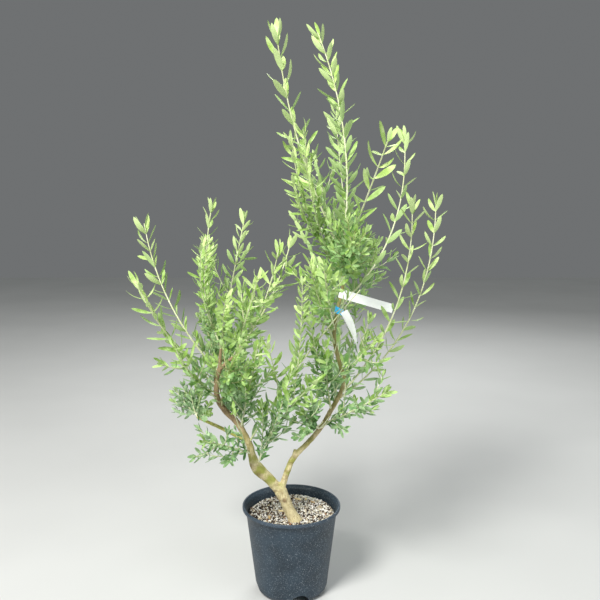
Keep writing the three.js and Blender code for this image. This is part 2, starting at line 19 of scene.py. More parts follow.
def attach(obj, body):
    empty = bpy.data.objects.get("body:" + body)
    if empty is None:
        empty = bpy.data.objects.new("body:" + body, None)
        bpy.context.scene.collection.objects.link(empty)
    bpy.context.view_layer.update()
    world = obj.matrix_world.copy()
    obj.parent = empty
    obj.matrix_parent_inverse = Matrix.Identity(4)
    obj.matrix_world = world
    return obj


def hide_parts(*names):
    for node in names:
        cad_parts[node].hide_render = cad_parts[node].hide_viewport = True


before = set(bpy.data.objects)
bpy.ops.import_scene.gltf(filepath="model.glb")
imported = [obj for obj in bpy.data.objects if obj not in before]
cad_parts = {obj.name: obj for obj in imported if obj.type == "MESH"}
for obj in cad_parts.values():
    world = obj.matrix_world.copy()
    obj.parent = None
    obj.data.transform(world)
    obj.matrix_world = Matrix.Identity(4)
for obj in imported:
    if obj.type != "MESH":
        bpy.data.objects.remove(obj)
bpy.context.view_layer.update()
MM = 0.001

# %% [markdown]
# The camera stands where the photographer stood: a metre above the ground and 1.7 m away, looking down by
# nine degrees. The horizon and the paving gave the tilt, and the pot's rim gave the distance. The focal
# length is the one that makes the rim as wide and as round in the frame as it really is.

# %% The camera
CAMERA_PLACE = (21.1, -1737.0, 1003.5)
CAMERA_TILT = 9.1
CAMERA_LENS = 44.9


def placed(name, data):
    """A new object in the scene."""
    made = bpy.data.objects.new(name, data)
    bpy.context.scene.collection.objects.link(made)
    return made


def mesh_object(name, points_mm, faces):
    """A new mesh object from points in millimetres."""
    mesh = bpy.data.meshes.new(name)
    mesh.from_pydata((np.asarray(points_mm) * MM).tolist(), [], faces)
    return placed(name, mesh)


camera_data = bpy.data.cameras.new("camera")
camera_data.lens = CAMERA_LENS
camera_data.sensor_width = 36.0
camera = placed("camera", camera_data)
camera.location = [c * MM for c in CAMERA_PLACE]
camera.rotation_euler = (math.radians(90 - CAMERA_TILT), 0, 0)
bpy.context.scene.camera = camera
print("camera", CAMERA_LENS, "mm lens, tilted down", CAMERA_TILT, "degrees")

# %% [markdown]
# Colours are written as sRGB hex, the way a picture shows them, and one function turns them to the linear
# values that a shader works with. One more function adds a shader node with its settings and its links, so
# that a material reads as a list of what feeds what.

# %% Colour and material helpers
def linear(hex_colour):
    """An sRGB hex colour as linear red, green, blue and alpha."""
    parts = [int(hex_colour[i:i + 2], 16) / 255 for i in (1, 3, 5)]
    return [c / 12.92 if c <= 0.04045 else ((c + 0.055) / 1.055) ** 2.4 for c in parts] + [1.0]


def add(tree, kind, inputs=None, **settings):
    """A node of this kind. Inputs are links from other sockets, or constants."""
    made = tree.nodes.new(kind)
    for name, value in settings.items():
        setattr(made, name, value)
    for name, value in (inputs or {}).items():
        if isinstance(value, bpy.types.NodeSocket):
            tree.links.new(value, made.inputs[name])
        else:
            made.inputs[name].default_value = value
    return made


def start_material(name):
    """An empty material with its output, its principled shader and its object coordinates."""
    material = bpy.data.materials.new(name)
    material.use_nodes = True
    tree = material.node_tree
    tree.nodes.clear()
    shader = add(tree, "ShaderNodeBsdfPrincipled")
    add(tree, "ShaderNodeOutputMaterial", {"Surface": shader.outputs["BSDF"]})
    place = add(tree, "ShaderNodeTexCoord").outputs["Object"]
    return material, tree, shader, place


def per_mm(size_mm):
    """The texture scale at which one feature is about this many millimetres across."""
    return 1 / (size_mm * MM)


def ramp(tree, factor, stops):
    """A colour ramp: stops are pairs of position and hex colour."""
    made = add(tree, "ShaderNodeValToRGB", {"Fac": factor})
    elements = made.color_ramp.elements
    while len(elements) < len(stops):
        elements.new(0.5)
    for element, (position, colour) in zip(elements, stops):
        element.position = position
        element.color = linear(colour)
    return made.outputs["Color"]


def mixed(tree, factor, first, second):
    """Two colours mixed by a factor. The second may be a hex colour."""
    second = linear(second) if isinstance(second, str) else second
    return add(tree, "ShaderNodeMix", {0: factor, 6: first, 7: second}, data_type="RGBA").outputs[2]


def band(tree, value, low, high, at_low=0.0, at_high=1.0):
    """A value spread so that low gives at_low and high gives at_high, and held between them."""
    inputs = {"Value": value, "From Min": low, "From Max": high, "To Min": at_low, "To Max": at_high}
    return add(tree, "ShaderNodeMapRange", inputs).outputs["Result"]


def times(tree, value, factor, plus=None):
    """A value times a factor, plus another value where one is given."""
    inputs = {0: value, 1: factor} if plus is None else {0: value, 1: factor, 2: plus}
    operation = "MULTIPLY" if plus is None else "MULTIPLY_ADD"
    return add(tree, "ShaderNodeMath", inputs, operation=operation).outputs[0]


def noise_in(tree, place, size_mm, detail=2.0, **more):
    """A noise with features of about this size."""
    inputs = {"Vector": place, "Scale": per_mm(size_mm), "Detail": detail, **more}
    return add(tree, "ShaderNodeTexNoise", inputs).outputs["Fac"]


def dots_in(tree, place, size_mm):
    """The distance to the nearest of many scattered points, which lie about this far apart."""
    return add(tree, "ShaderNodeTexVoronoi", {"Vector": place, "Scale": per_mm(size_mm)}).outputs["Distance"]


def axis_in(tree, place, axis):
    return add(tree, "ShaderNodeSeparateXYZ", {"Vector": place}).outputs[axis]


def bumped(tree, shader, height, strength, depth_mm):
    """Lets the surface rise and fall with a texture."""
    inputs = {"Height": height, "Strength": strength, "Distance": depth_mm * MM}
    tree.links.new(add(tree, "ShaderNodeBump", inputs).outputs["Normal"], shader.inputs["Normal"])


def mottled(name, size_mm, detail, stops, settings, pits=None):
    """A material whose colour drifts over about this size. Pits are given by size, strength and depth."""
    material, tree, shader, place = start_material(name)
    tree.links.new(ramp(tree, noise_in(tree, place, size_mm, detail), stops), shader.inputs["Base Color"])
    for socket, value in settings.items():
        shader.inputs[socket].default_value = value
    if pits:
        bumped(tree, shader, noise_in(tree, place, pits[0]), *pits[1:])
    return material


print("helpers ready")

# %% [markdown]
# Every piece is a mesh made from arrays of points and faces. One function makes the object, gives it its
# materials, makes it ride on the part's only body, and says which solids it stands for.

# %% Piece helpers
def make_piece(name, points_mm, faces, materials, slot, smooth=35, face_materials=None, stands_for=()):
    """A mesh that rides on the root body and stands for its solids. The slot is not used.

    Edges sharper than smooth degrees stay sharp.
    """
    piece = mesh_object(name, points_mm, faces)
    mesh = piece.data
    for material in materials:
        mesh.materials.append(material)
    if face_materials is not None:
        mesh.polygons.foreach_set("material_index", np.asarray(face_materials, dtype=np.int32))
    mesh.shade_smooth()
    mesh.set_sharp_from_angle(angle=math.radians(smooth))
    mesh.update()
    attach(piece, "root")
    if stands_for:
        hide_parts(*stands_for)
    return piece


def triangles_in(piece):
    piece.data.calc_loop_triangles()
    return len(piece.data.loop_triangles)


def apply_modifiers(piece):
    """The piece's mesh as its modifiers leave it."""
    graph = bpy.context.evaluated_depsgraph_get()
    graph.update()
    finished = bpy.data.meshes.new_from_object(piece.evaluated_get(graph))
    piece.modifiers.clear()
    piece.data = finished
    return piece


def seeded_draws(seed):
    """Draws from 0 to 1 that come out the same on each run."""
    state = (seed * 7919 + 12345) % 2**32

    def draw():
        nonlocal state
        state = (state * 1664525 + 1013904223) % 2**32
        return state / 2**32

    draw()
    draw()
    return draw


def lerp(a, b, share):
    return a + (b - a) * share


def bent(a, b, c, share):
    """The place at a share of the curve from a to c that is drawn towards b."""
    return a * (1 - share) ** 2 + 2 * b * share * (1 - share) + c * share**2


def unit(way):
    """A direction, or each of an array of them, one unit long."""
    return way / np.linalg.norm(way, axis=-1, keepdims=True)


def turned(a, b, angle):
    """The direction a, turned towards b by an angle in degrees."""
    return a * math.cos(math.radians(angle)) + b * math.sin(math.radians(angle))


def ring_faces(rings, sides, first=0):
    """The four-sided faces between rings that all have the same number of points."""
    faces = []
    for ring in range(rings - 1):
        low = first + ring * sides
        for side in range(sides):
            after = (side + 1) % sides
            faces.append((low + side, low + after, low + sides + after, low + sides + side))
    return faces


def capped_faces(rings, sides):
    """The same, closed by a flat cap at each end."""
    last = (rings - 1) * sides
    return ring_faces(rings, sides) + [tuple(range(sides - 1, -1, -1)), tuple(range(last, last + sides))]


print("piece helpers ready")

# %% [markdown]
# The pot is injection-moulded polypropylene, thin and slightly tapered, with a turned-out rim and a rounded
# foot. It is turned like a pot on a wheel: one half section is swept round the axis. Four arched water
# channels and their drain holes are then cut out of the foot, as on the real pot, where one arch shows at
# the front.

# %% The pot's shape
POT = Values(
    height=219, rim=120, rim_depth=8, roll=2.6, body=112.2, foot=86.5, foot_round=18, wall=2.6, floor=27,
)
CHANNEL = Values(count=4, width=48, start=44, length=56, turn=14, drain=5, drain_at=62)
POT_SIDES = 144


def corner(r, z, radius, start, end, steps):
    """Points round a corner of the section, from one angle to another in degrees."""
    turns = [math.radians(lerp(start, end, i / steps)) for i in range(steps + 1)]
    return [(r + radius * math.cos(t), z + radius * math.sin(t)) for t in turns]


def revolve(section, sides):
    """A section that starts and ends on the axis, swept round it."""
    rings = section[1:-1]
    points = [(0, 0, section[0][1])]
    for r, z in rings:
        for side in range(sides):
            turn = 2 * math.pi * side / sides
            points.append((r * math.cos(turn), r * math.sin(turn), z))
    points.append((0, 0, section[-1][1]))
    faces = ring_faces(len(rings), sides, 1)
    last = len(points) - 1 - sides
    for side in range(sides):
        after = (side + 1) % sides
        faces += [(0, 1 + after, 1 + side), (last + sides, last + side, last + after)]
    return points, faces


def body_radius(z):
    """Outer radius of the pot's body at a height."""
    return lerp(POT.foot, POT.body, z / (POT.height - POT.rim_depth))


under_rim = POT.height - POT.rim_depth
foot_flat = body_radius(POT.foot_round) - POT.foot_round
inner_foot = body_radius(POT.floor) - POT.wall
roll_place = (POT.rim - POT.roll, POT.height - POT.roll, POT.roll)
pot_section = [
    (0, 0),
    (40, 0),
    *corner(foot_flat, POT.foot_round, POT.foot_round, -90, 0, 10),
    *[(body_radius(z), z) for z in range(30, 210, 30)],
    (POT.body, under_rim - 1.4),
    (POT.body + 0.6, under_rim - 0.4),
    (POT.rim - 2.0, under_rim - 0.2),
    *corner(POT.rim - 0.8, under_rim + 0.6, 0.8, -90, 0, 3),
    *corner(*roll_place, 0, 180, 10),
    (POT.body + 0.6, under_rim + 1.5),
    (POT.body - POT.wall + 0.4, under_rim - 2),
    (POT.body - POT.wall - 0.3, under_rim - 6),
    *[(body_radius(z) - POT.wall, z) for z in range(180, 20, -30)],
    (inner_foot + 0.6, POT.floor + 4),
    *corner(inner_foot - 3.4, POT.floor + 4, 4, 0, -90, 4),
    (40, POT.floor),
    (0, POT.floor),
]
print("pot section has", len(pot_section), "points")

# %% [markdown]
# The plastic is dark slate, near black where it is clean. A moulded surface of this kind has a very fine
# grain from the tool, here 0.9 mm so that it shows, a faint mottle of handling marks some centimetres wide,
# and pale dust and splashed grit that sit on it as specks of a millimetre or two. The top of the rim is
# painted paler and bluer, a painted highlight where it catches the light.

# %% Moulded polypropylene
# The rim colour is a painted highlight for the top of the rim.
SLATE = Values(deep="#202f3b", light="#2f404e", rim="#4a5a6b", powder="#8f9aa3", dust="#c3cace")


def pot_plastic():
    material, tree, shader, place = start_material("moulded_polypropylene")
    mottle = noise_in(tree, place, 45, 5.0)
    slate = ramp(tree, mottle, [(0.35, SLATE.deep), (0.65, SLATE.light)])
    # Painted highlight: near the top of the rim the colour is mixed towards the paler rim colour.
    rim = band(tree, axis_in(tree, place, "Z"), 209 * MM, 213 * MM)
    body = mixed(tree, times(tree, rim, 0.4), slate, SLATE.rim)
    powder = band(tree, noise_in(tree, place, 2.8), 0.54, 0.72)
    dusty = mixed(tree, times(tree, powder, 0.4), body, SLATE.powder)
    more_to_the_right = times(tree, axis_in(tree, place, "X"), 1.2, noise_in(tree, place, 14))
    specks = band(tree, dots_in(tree, place, 4), 0.22, 0.08)
    dust = times(tree, specks, band(tree, more_to_the_right, 0.46, 0.68))
    tree.links.new(mixed(tree, dust, dusty, SLATE.dust), shader.inputs["Base Color"])
    tree.links.new(band(tree, mottle, 0.2, 0.9, 0.42, 0.62), shader.inputs["Roughness"])
    bumped(tree, shader, noise_in(tree, place, 0.9), 0.35, 0.25)
    shader.inputs["IOR"].default_value = 1.49
    return material


# %% Cut the channels and dress the pot
def arch_block(turn):
    """The cutters of one channel: a block with an arched top under the floor, and a drain through it."""
    half, start = CHANNEL.width / 2, -CHANNEL.start
    outline = [(-half, -2), (half, -2)] + corner(0, 0, half, 0, 180, 16)
    block = [(x, y, z) for y in (start, start - CHANNEL.length) for x, z in outline]
    bore = corner(0, -CHANNEL.drain_at, CHANNEL.drain, 0, 345, 23)
    drain = [(x, y, z) for z in (-5, 3 * POT.floor) for x, y in bore]
    cutters = [mesh_object("cutter", shape, capped_faces(2, len(shape) // 2)) for shape in (block, drain)]
    for cutter in cutters:
        cutter.rotation_euler[2] = turn
    return cutters


pot_points, pot_faces = revolve(pot_section, POT_SIDES)
pot = make_piece("pot_shell", pot_points, pot_faces, [pot_plastic()], "pot", smooth=32, stands_for=["pot"])
cutters = []
for i in range(CHANNEL.count):
    cutters += arch_block(math.radians(CHANNEL.turn + 360 / CHANNEL.count * i))
for cutter in cutters:
    cut = pot.modifiers.new("cut", "BOOLEAN")
    cut.operation, cut.solver, cut.object = "DIFFERENCE", "EXACT", cutter
apply_modifiers(pot)
for cutter in cutters:
    bpy.data.objects.remove(cutter)
pot.data.set_sharp_from_angle(angle=math.radians(32))
print("pot:", triangles_in(pot), "triangles")

# %% [markdown]
# The pot is filled with a free-draining mix: pumice, fired clay, bark and compost, in grains of three to
# eight millimetres. A bed with a rough surface closes the view down between the grains. The grains are
# angular lumps made from an icosahedron, each with its own proportions, turned at random and dealt out to
# five colours.

# %% The soil bed
SOIL = Values(level=196, top_radius=106.6, slope_from=99, slope=3 / 8)
# Width, height and layer of the waves in the bed.
SOIL_WAVES = [(16, 1.6, 3.1), (5, 0.8, 7.7)]
TRUNK_FOOT = np.array([7.0, -42.0])


def grit_material(name, dark, pale):
    """Broken mineral or bark: a soft mottle, and pits under a millimetre wide."""
    return mottled(name, 7, 4.0, [(0.35, dark), (0.65, pale)], {"Roughness": 0.95}, pits=(0.8, 0.6, 0.3))


def soil_height(x, y):
    """Rough level of the bed, which falls away a little at the wall."""
    wave = sum(noise.noise((x / size, y / size, layer)) * rise for size, rise, layer in SOIL_WAVES)
    fall = max(0.0, math.hypot(x, y) - SOIL.slope_from) * SOIL.slope
    return SOIL.level - 1.5 + wave - fall


BED_SIDES = 96
bed_section = [(0, POT.floor + 0.35), (82, POT.floor + 0.35), (87, 34), (SOIL.top_radius - 0.2, 190)]
bed_section += [(SOIL.top_radius * (i / 36), 0) for i in range(36, 0, -1)] + [(0, SOIL.level)]
bed_points, bed_faces = revolve(bed_section, BED_SIDES)
first_top = 1 + 3 * BED_SIDES
bed_points[first_top:] = [(x, y, soil_height(x, y)) for x, y, _ in bed_points[first_top:]]
bed_material = grit_material("dark_compost", "#1d1713", "#46392d")
bed = make_piece("soil_bed", bed_points, bed_faces, [bed_material], "soil", stands_for=["soil"])
print("soil bed:", triangles_in(bed), "triangles")

# %% The grains
GRAINS = {
    "pumice_white": (2050, "#e8e6dd", "#fdfbf6", (0.2, 0.25)),
    "pumice_tan": (1500, "#b8ae98", "#ddd3bc", (0.1, 0.1)),
    "clay_brown": (1000, "#5f4c3d", "#85705c", (-0.3, -0.2)),
    "bark_dark": (1500, "#231d19", "#443a31", (-0.35, -0.3)),
    "clay_rust": (60, "#94664a", "#bd8d64", (0.2, 0.2)),
}
GRAIN_SIZES = (2.4, 7.2)
TRUNK_CLEARANCE = 15
golden = (1 + 5**0.5) / 2
signs = [(a, b * golden) for a in (1, -1) for b in (1, -1)]
ICOSAHEDRON = np.array(
    [(0, a, b) for a, b in signs] + [(a, b, 0) for a, b in signs] + [(b, 0, a) for a, b in signs]
) / math.hypot(1, golden)


def hull_faces(corners):
    """The triangles of the icosahedron: its corners that lie nearest to each other, facing out."""
    side = min(np.linalg.norm(corners[0] - c) for c in corners[1:])
    faces = []
    for i, j, k in itertools.combinations(range(12), 3):
        a, b, c = corners[[i, j, k]]
        if all(abs(np.linalg.norm(v) - side) < 1e-6 for v in (a - b, b - c, a - c)):
            faces.append((i, j, k) if np.cross(b - a, c - a) @ a > 0 else (i, k, j))
    return np.array(faces)


ICO_FACES = hull_faces(ICOSAHEDRON)


def random_turns(rng, count):
    """Rotation matrices, evenly spread."""
    return np.array([Quaternion(q).normalized().to_matrix() for q in rng.normal(size=(count, 4))])


def spread(rng, count, lean):
    """Places over the bed from 0 to 1 of its radius, thicker on the side that the lean points to."""
    reach = np.sqrt(rng.random(4 * count))
    turn = 2 * math.pi * rng.random(4 * count)
    place = np.stack([reach * np.cos(turn), reach * np.sin(turn)], axis=1)
    patch = np.array([noise.noise((3 * x, 3 * y, lean[0])) for x, y in place])
    kept = rng.random(4 * count) < 0.5 * (1 + place @ lean + 0.7 * patch)
    return place[kept][:count]


def grains(rng, count, lean):
    """Points and faces of loose grains spread over the bed, clear of the trunk and the wall."""
    place = spread(rng, count, np.array(lean))
    count = len(place)
    size = lerp(GRAIN_SIZES[0], GRAIN_SIZES[1], rng.random(count) ** 1.6)
    place = place * (SOIL.top_radius - 1 - size / 2)[:, None]
    away = place - TRUNK_FOOT
    distance = np.linalg.norm(away, axis=1, keepdims=True)
    pushed = TRUNK_FOOT + away / np.maximum(distance, 1) * (TRUNK_CLEARANCE + 4 * distance / TRUNK_CLEARANCE)
    place = np.where(distance < TRUNK_CLEARANCE, pushed, place)
    height = np.array([soil_height(x, y) for x, y in place]) + size * (rng.random(count) * 0.6 - 0.1)
    lumps = ICOSAHEDRON[None] * (1 + 0.22 * rng.normal(size=(count, 12, 1)).clip(-1.5, 1.5))
    width, depth = lerp(0.6, 0.95, rng.random(count)), lerp(0.45, 0.8, rng.random(count))
    lumps = lumps * np.stack([np.ones(count), width, depth], 1)[:, None]
    lumps = np.einsum("nij,nkj->nki", random_turns(rng, count), lumps) * (size / 2)[:, None, None]
    points = lumps + np.column_stack([place, height])[:, None]
    faces = ICO_FACES[None] + 12 * np.arange(count)[:, None, None]
    return points.reshape(-1, 3), faces.reshape(-1, 3).tolist()


for order, (name, (count, dark, pale, lean)) in enumerate(GRAINS.items()):
    grain_points, grain_faces = grains(np.random.default_rng(40 + order), count, lean)
    piece = make_piece(name, grain_points, grain_faces, [grit_material(name, dark, pale)], "soil", smooth=20)
    print(name, triangles_in(piece), "triangles")

# %% [markdown]
# The wood. The stations of each limb are the same as in the part's source: where its middle line passes and
# how thick it is. A curve through them gives a tube. Separate tubes would show a hard seam at the fork, so
# the trunk and the two boughs are joined and remeshed into one skin, smoothed where they meet, and then
# given their relief.

# %% The limbs' middle lines
LIMBS = {
    "trunk": [
        (14, -43, 180, 19), (7, -42, 198, 16.5), (3, -41.5, 207, 14), (-5, -40, 222, 13),
        (-15, -38, 246, 13.2), (-25, -36, 266, 15.5), (-29, -35, 276, 13),
    ],
    "left_bough": [
        (-30, -36, 270, 11.5), (-52, -39, 298, 12.5), (-80, -44, 328, 14.5), (-92, -44, 358, 9.5),
        (-100, -40, 388, 8), (-128, -25, 433, 7.4), (-158, -15, 461, 7), (-177, -5, 490, 6.8),
        (-178, 0, 531, 6.2), (-171, 0, 558, 5.8),
    ],
    "left_leader": [(-171, 0, 560, 4.6), (-169, 0, 583, 4), (-167, 0, 607, 3.4)],
    "left_arm": [(-169, 0, 558, 4.6), (-150, 3, 577, 4.2), (-122, 5, 597, 3.2)],
    "side_branch": [(-100, -40, 390, 5), (-150, -5, 404, 4.6), (-233, 60, 419, 3.6)],
    "right_bough": [
        (-24, -35, 268, 8.2), (-13, -33, 304, 7.2), (5, -30, 347, 7), (40, -25, 384, 6.2),
        (71, -20, 420, 6), (94, -15, 459, 5.8), (113, -12, 493, 5.6), (131, -10, 533, 6.2),
    ],
    "right_leader": [
        (130, -10, 531, 5.4), (112, -10, 586, 4.8), (102, -8, 641, 4.4), (109, -5, 701, 4.2),
        (122, 0, 761, 3.8), (119, 0, 808, 3.4), (121, 0, 855, 2.8),
    ],
}
PRUNED_STUB = [(3, -31, 340, 4.8), (10, -31, 369, 4.2)]


def limb_point(stations, share):
    """The place and the radius at a share of a limb, on the smooth curve through its stations."""
    rows = np.array(stations, float)
    spans = len(rows) - 1
    i = min(int(share * spans), spans - 1)
    t = share * spans - i
    before = rows[i - 1] if i else 2 * rows[0] - rows[1]
    after = rows[i + 2] if i + 2 <= spans else 2 * rows[-1] - rows[-2]
    a, b = rows[i], rows[i + 1]
    slope_a, slope_b = (b - before) / 2, (after - a) / 2
    curve = (2 * a - 2 * b + slope_a + slope_b) * t**3 + (3 * b - 3 * a - 2 * slope_a - slope_b) * t**2
    return (curve + slope_a * t + a)[:3], lerp(a[3], b[3], t)


def limb_at(name, height):
    """The place and the radius of a limb where its middle line reaches a height."""
    low, high = 0.0, 1.0
    for _ in range(20):
        middle = (low + high) / 2
        if limb_point(LIMBS[name], middle)[0][2] < height:
            low = middle
        else:
            high = middle
    return limb_point(LIMBS[name], low)


def tube(points, radii, sides, rounded_end=False):
    """Points and faces of a closed tube along a line of points."""
    points = np.asarray(points, float)
    along = unit(np.gradient(points, axis=0))
    if rounded_end:
        end = points[-1] + along[-1] * radii[-1] * np.array([[0.5], [0.85], [1.0]])
        points = np.vstack([points, end])
        along = np.vstack([along, np.repeat(along[-1:], 3, axis=0)])
        radii = np.append(radii, radii[-1] * np.array([0.86, 0.5, 0.12]))
    turns = 2 * np.pi * np.arange(sides) / sides
    across = np.array([1.0, 0.2, 0.0])
    rings = []
    for place, direction, radius in zip(points, along, radii):
        across = unit(across - direction * (across @ direction))
        beside = np.cross(direction, across)
        rings.append(place + radius * (np.cos(turns)[:, None] * across + np.sin(turns)[:, None] * beside))
    return np.vstack(rings), capped_faces(len(rings), sides)


def limb_tube(stations, sides, step_mm, rounded_end=True):
    length = sum(math.dist(a[:3], b[:3]) for a, b in zip(stations, stations[1:]))
    shares = np.linspace(0, 1, max(3, int(length / step_mm)))
    places, radii = zip(*(limb_point(stations, s) for s in shares))
    return tube(places, np.array(radii), sides, rounded_end)


def joined(shapes):
    """Several shapes as one set of points and faces."""
    points, faces, start = [], [], 0
    for shape_points, shape_faces in shapes:
        points.append(np.asarray(shape_points))
        faces += [tuple(i + start for i in face) for face in shape_faces]
        start += len(shape_points)
    return np.vstack(points), faces


for name, stations in LIMBS.items():
    print(name, "foot", 2 * stations[0][3], "mm thick, tip", 2 * stations[-1][3], "mm")

# %% [markdown]
# Young olive bark is smooth, tan to yellow-green, and turns grey-brown on the boughs as they age. It
# carries fine cracks along the limb, warty pores, and swollen scars where shoots were cut. The relief is
# real geometry: a stretched noise for the cracks, a rounder one for the lumps, and a few listed knots.

# %% Young and older bark
BARK_MARKS = Values(moss="#a8ab55", brown_light="#b39a76", ring="#8a6a48", pore="#7a6342", scar="#7d6040")
CRACK_SIZE = (3.4, 3.4, 13)
LUMP_SIZE = (11, 11, 17)


def bark_material(name, young, old, brown, low_mm, high_mm, scars_and_painted_shade=()):
    """Tan wood with green patches, brown rings, brown marks and painted shade, that browns all over from one
    height to another.
    """
    material, tree, shader, place = start_material(name)
    stretch = add(tree, "ShaderNodeMapping", {"Vector": place, "Scale": (1.0, 1.0, 0.22)}).outputs["Vector"]
    squash = add(tree, "ShaderNodeMapping", {"Vector": place, "Scale": (0.3, 0.3, 1.0)}).outputs["Vector"]
    height = axis_in(tree, place, "Z")
    cracks = noise_in(tree, stretch, 3.2, 6.0, Roughness=0.65)
    rings = noise_in(tree, squash, 9, 3.0)
    patches = noise_in(tree, place, 24, 4.0)
    tan = ramp(tree, cracks, [(0.32, old), (0.56, young)])
    moss = times(tree, band(tree, patches, 0.4, 0.58), band(tree, height, 262 * MM, 300 * MM))
    green = mixed(tree, moss, tan, BARK_MARKS.moss)
    ageing = band(tree, times(tree, patches, 60 * MM, height), (low_mm + 30) * MM, (high_mm + 30) * MM)
    less_to_the_right = band(tree, axis_in(tree, place, "X"), 20 * MM, 130 * MM, 1.0, 0.45)
    brown_wood = ramp(tree, cracks, [(0.32, brown), (0.62, BARK_MARKS.brown_light)])
    aged = mixed(tree, times(tree, ageing, less_to_the_right), green, brown_wood)
    ringed = mixed(tree, times(tree, band(tree, rings, 0.6, 0.72), 0.6), aged, BARK_MARKS.ring)
    pores = band(tree, dots_in(tree, place, 4.2), 0.24, 0.1)
    colour = mixed(tree, times(tree, pores, 0.5), ringed, BARK_MARKS.pore)
    # Brown at listed places: real marks at the knot and cut shoots, and painted shade in the crotch and on
    # the left bough's outer side.
    for x, y, z, radius, strength in scars_and_painted_shade:
        centre = (x * MM, y * MM, z * MM)
        away = add(tree, "ShaderNodeVectorMath", {0: place, 1: centre}, operation="DISTANCE").outputs["Value"]
        ragged = times(tree, patches, 12 * MM, away)
        near = band(tree, ragged, (radius + 6) * MM, (0.4 * radius + 6) * MM)
        colour = mixed(tree, times(tree, near, strength), colour, BARK_MARKS.scar)
    tree.links.new(colour, shader.inputs["Base Color"])
    bumped(tree, shader, cracks, 0.9, 0.9)
    shader.inputs["Roughness"].default_value = 0.78
    return material


def remeshed(name, shapes, voxel_mm, smoothing, material, slot, stands_for):
    """Shapes fused into one even skin."""
    points, faces = joined(shapes)
    piece = make_piece(name, points, faces, [material], slot, smooth=180, stands_for=stands_for)
    skin = piece.modifiers.new("skin", "REMESH")
    skin.mode, skin.voxel_size = "VOXEL", voxel_mm * MM
    soften = piece.modifiers.new("soften", "SMOOTH")
    soften.factor, soften.iterations = 0.5, smoothing
    return apply_modifiers(piece)


def add_relief(piece, crack_mm, lump_mm, knots):
    """Moves the skin along its normals by cracks, lumps and knots."""
    mesh = piece.data
    place, normal = np.zeros((2, len(mesh.vertices) * 3))
    mesh.vertices.foreach_get("co", place)
    mesh.vertices.foreach_get("normal", normal)
    place, normal = place.reshape(-1, 3) / MM, normal.reshape(-1, 3)
    cracks = np.array([noise.noise(p) for p in place / CRACK_SIZE])
    lumps = np.array([noise.noise(p) for p in place / LUMP_SIZE + (5, 0, 0)])
    shift = crack_mm * cracks + lump_mm * lumps
    for x, y, z, width, rise in knots:
        distance = np.linalg.norm(place - np.array([x, y, z]), axis=1)
        shift += rise * np.exp(-((distance / width) ** 2))
    mesh.vertices.foreach_set("co", ((place + normal * shift[:, None]) * MM).ravel())
    mesh.update()
    mesh.shade_smooth()


# %% Trunk and boughs
def root_lobes():
    """Short buttress roots that run out and down into the soil."""
    lobes = []
    for turn, reach in ((-150, 15), (-80, 17), (-15, 19), (60, 15), (130, 16)):
        x, y = reach * math.cos(math.radians(turn)), reach * math.sin(math.radians(turn))
        line = [(4, -41.5, 209), (6 + 0.55 * x, -42 + 0.55 * y, 200), (7 + x, -42 + y, 192)]
        lobes.append(tube(line, np.array([5.0, 5.2, 4.0]), 16))
    return lobes


# Place, width and rise of each knot.
KNOTS = [
    (-14, -51, 251, 5, 1.6), (-22, -49, 262, 4, -0.8), (-93, -58, 336, 8, 2.2), (-70, -30, 330, 9, 2.0),
    (-100, -50, 392, 5, 1.4), (-182, -8, 505, 5, 1.3), (47, -32, 392, 4.5, 1.3), (84, -24, 440, 4, 1.0),
    (133, -13, 530, 7, 1.8),
]
lower_limbs = ["trunk", "left_bough", "right_bough"]
lower_shapes = [limb_tube(LIMBS[name], 40, 3) for name in lower_limbs]
lower_shapes += [limb_tube(PRUNED_STUB, 24, 3, rounded_end=False)] + root_lobes()
# Brown places: the knot below the fork, painted shade in the crotch and on the outer side of the left bough,
# and the pruned shoots.
SCARS_AND_SHADE = [
    (-17, -51, 250, 8, 0.75), (-24, -46, 270, 9, 0.6), (-78, -54, 318, 13, 0.55), (-94, -52, 336, 10, 0.5),
    (-10, -38, 306, 5, 0.4), (8, -38, 352, 6, 0.45), (-60, -48, 298, 6, 0.4),
]
young_bark = bark_material("young_olive_bark", "#e9dcae", "#bfae7c", "#7d6650", 345, 450, SCARS_AND_SHADE)
wood = remeshed("trunk_and_boughs", lower_shapes, 1.1, 5, young_bark, "trunk_bark", lower_limbs)
add_relief(wood, 0.5, 0.7, KNOTS)
print("trunk and boughs:", triangles_in(wood), "triangles")

# %% Leaders and side branch
upper_limbs = ["left_leader", "left_arm", "side_branch", "right_leader"]
upper_shapes = [limb_tube(LIMBS[name], 28, 3) for name in upper_limbs]
leader_bark = bark_material("leader_bark", "#c2bd7c", "#96925a", "#806c52", 425, 520)
leaders = remeshed("leaders_and_side_branch", upper_shapes, 0.8, 3, leader_bark, "bough_bark", upper_limbs)
LEADER_KNOTS = [
    (106, -13, 655, 4, 1.0), (99, -10, 628, 4, 1.0), (114, -6, 725, 4, 0.9), (-150, 2, 577, 4, 0.8),
]
add_relief(leaders, 0.25, 0.45, LEADER_KNOTS)
print("leaders:", triangles_in(leaders), "triangles")

# %% [markdown]
# The foliage grows by the same rule and from the same rows as the solids: each plume springs from a limb at
# a height, reaches its tip on a bowed line, and carries leaves in crossed pairs. Here the pairs stand as
# close as on the real shoot, by the number before the age in each row, and more of the short side twigs are
# grown.

# %% The plumes
LEAF_BARE_FOOT = 16
LEAF_WIDTHS = [(25, 0.38), (30, 0.31), (37, 0.285), (math.inf, 0.235)]
STEM = Values(foot=2.4, tip=1.2, twig_share=0.66, swelling=0.22, swollen_length=2.2, sides=7, step=5)
LEAF_ANGLE = Values(foot=52, tip=39, scatter=32)
TWIG = Values(length=95, angle=46, lift=0.25, first=0.1, last=0.76, sag=0.1)
BUD_REACH = 0.95
BUD_PAIRS = [(0.5, 1.0, 36), (0.26, 0.82, 18)]
SIDE_LEAF = 0.85

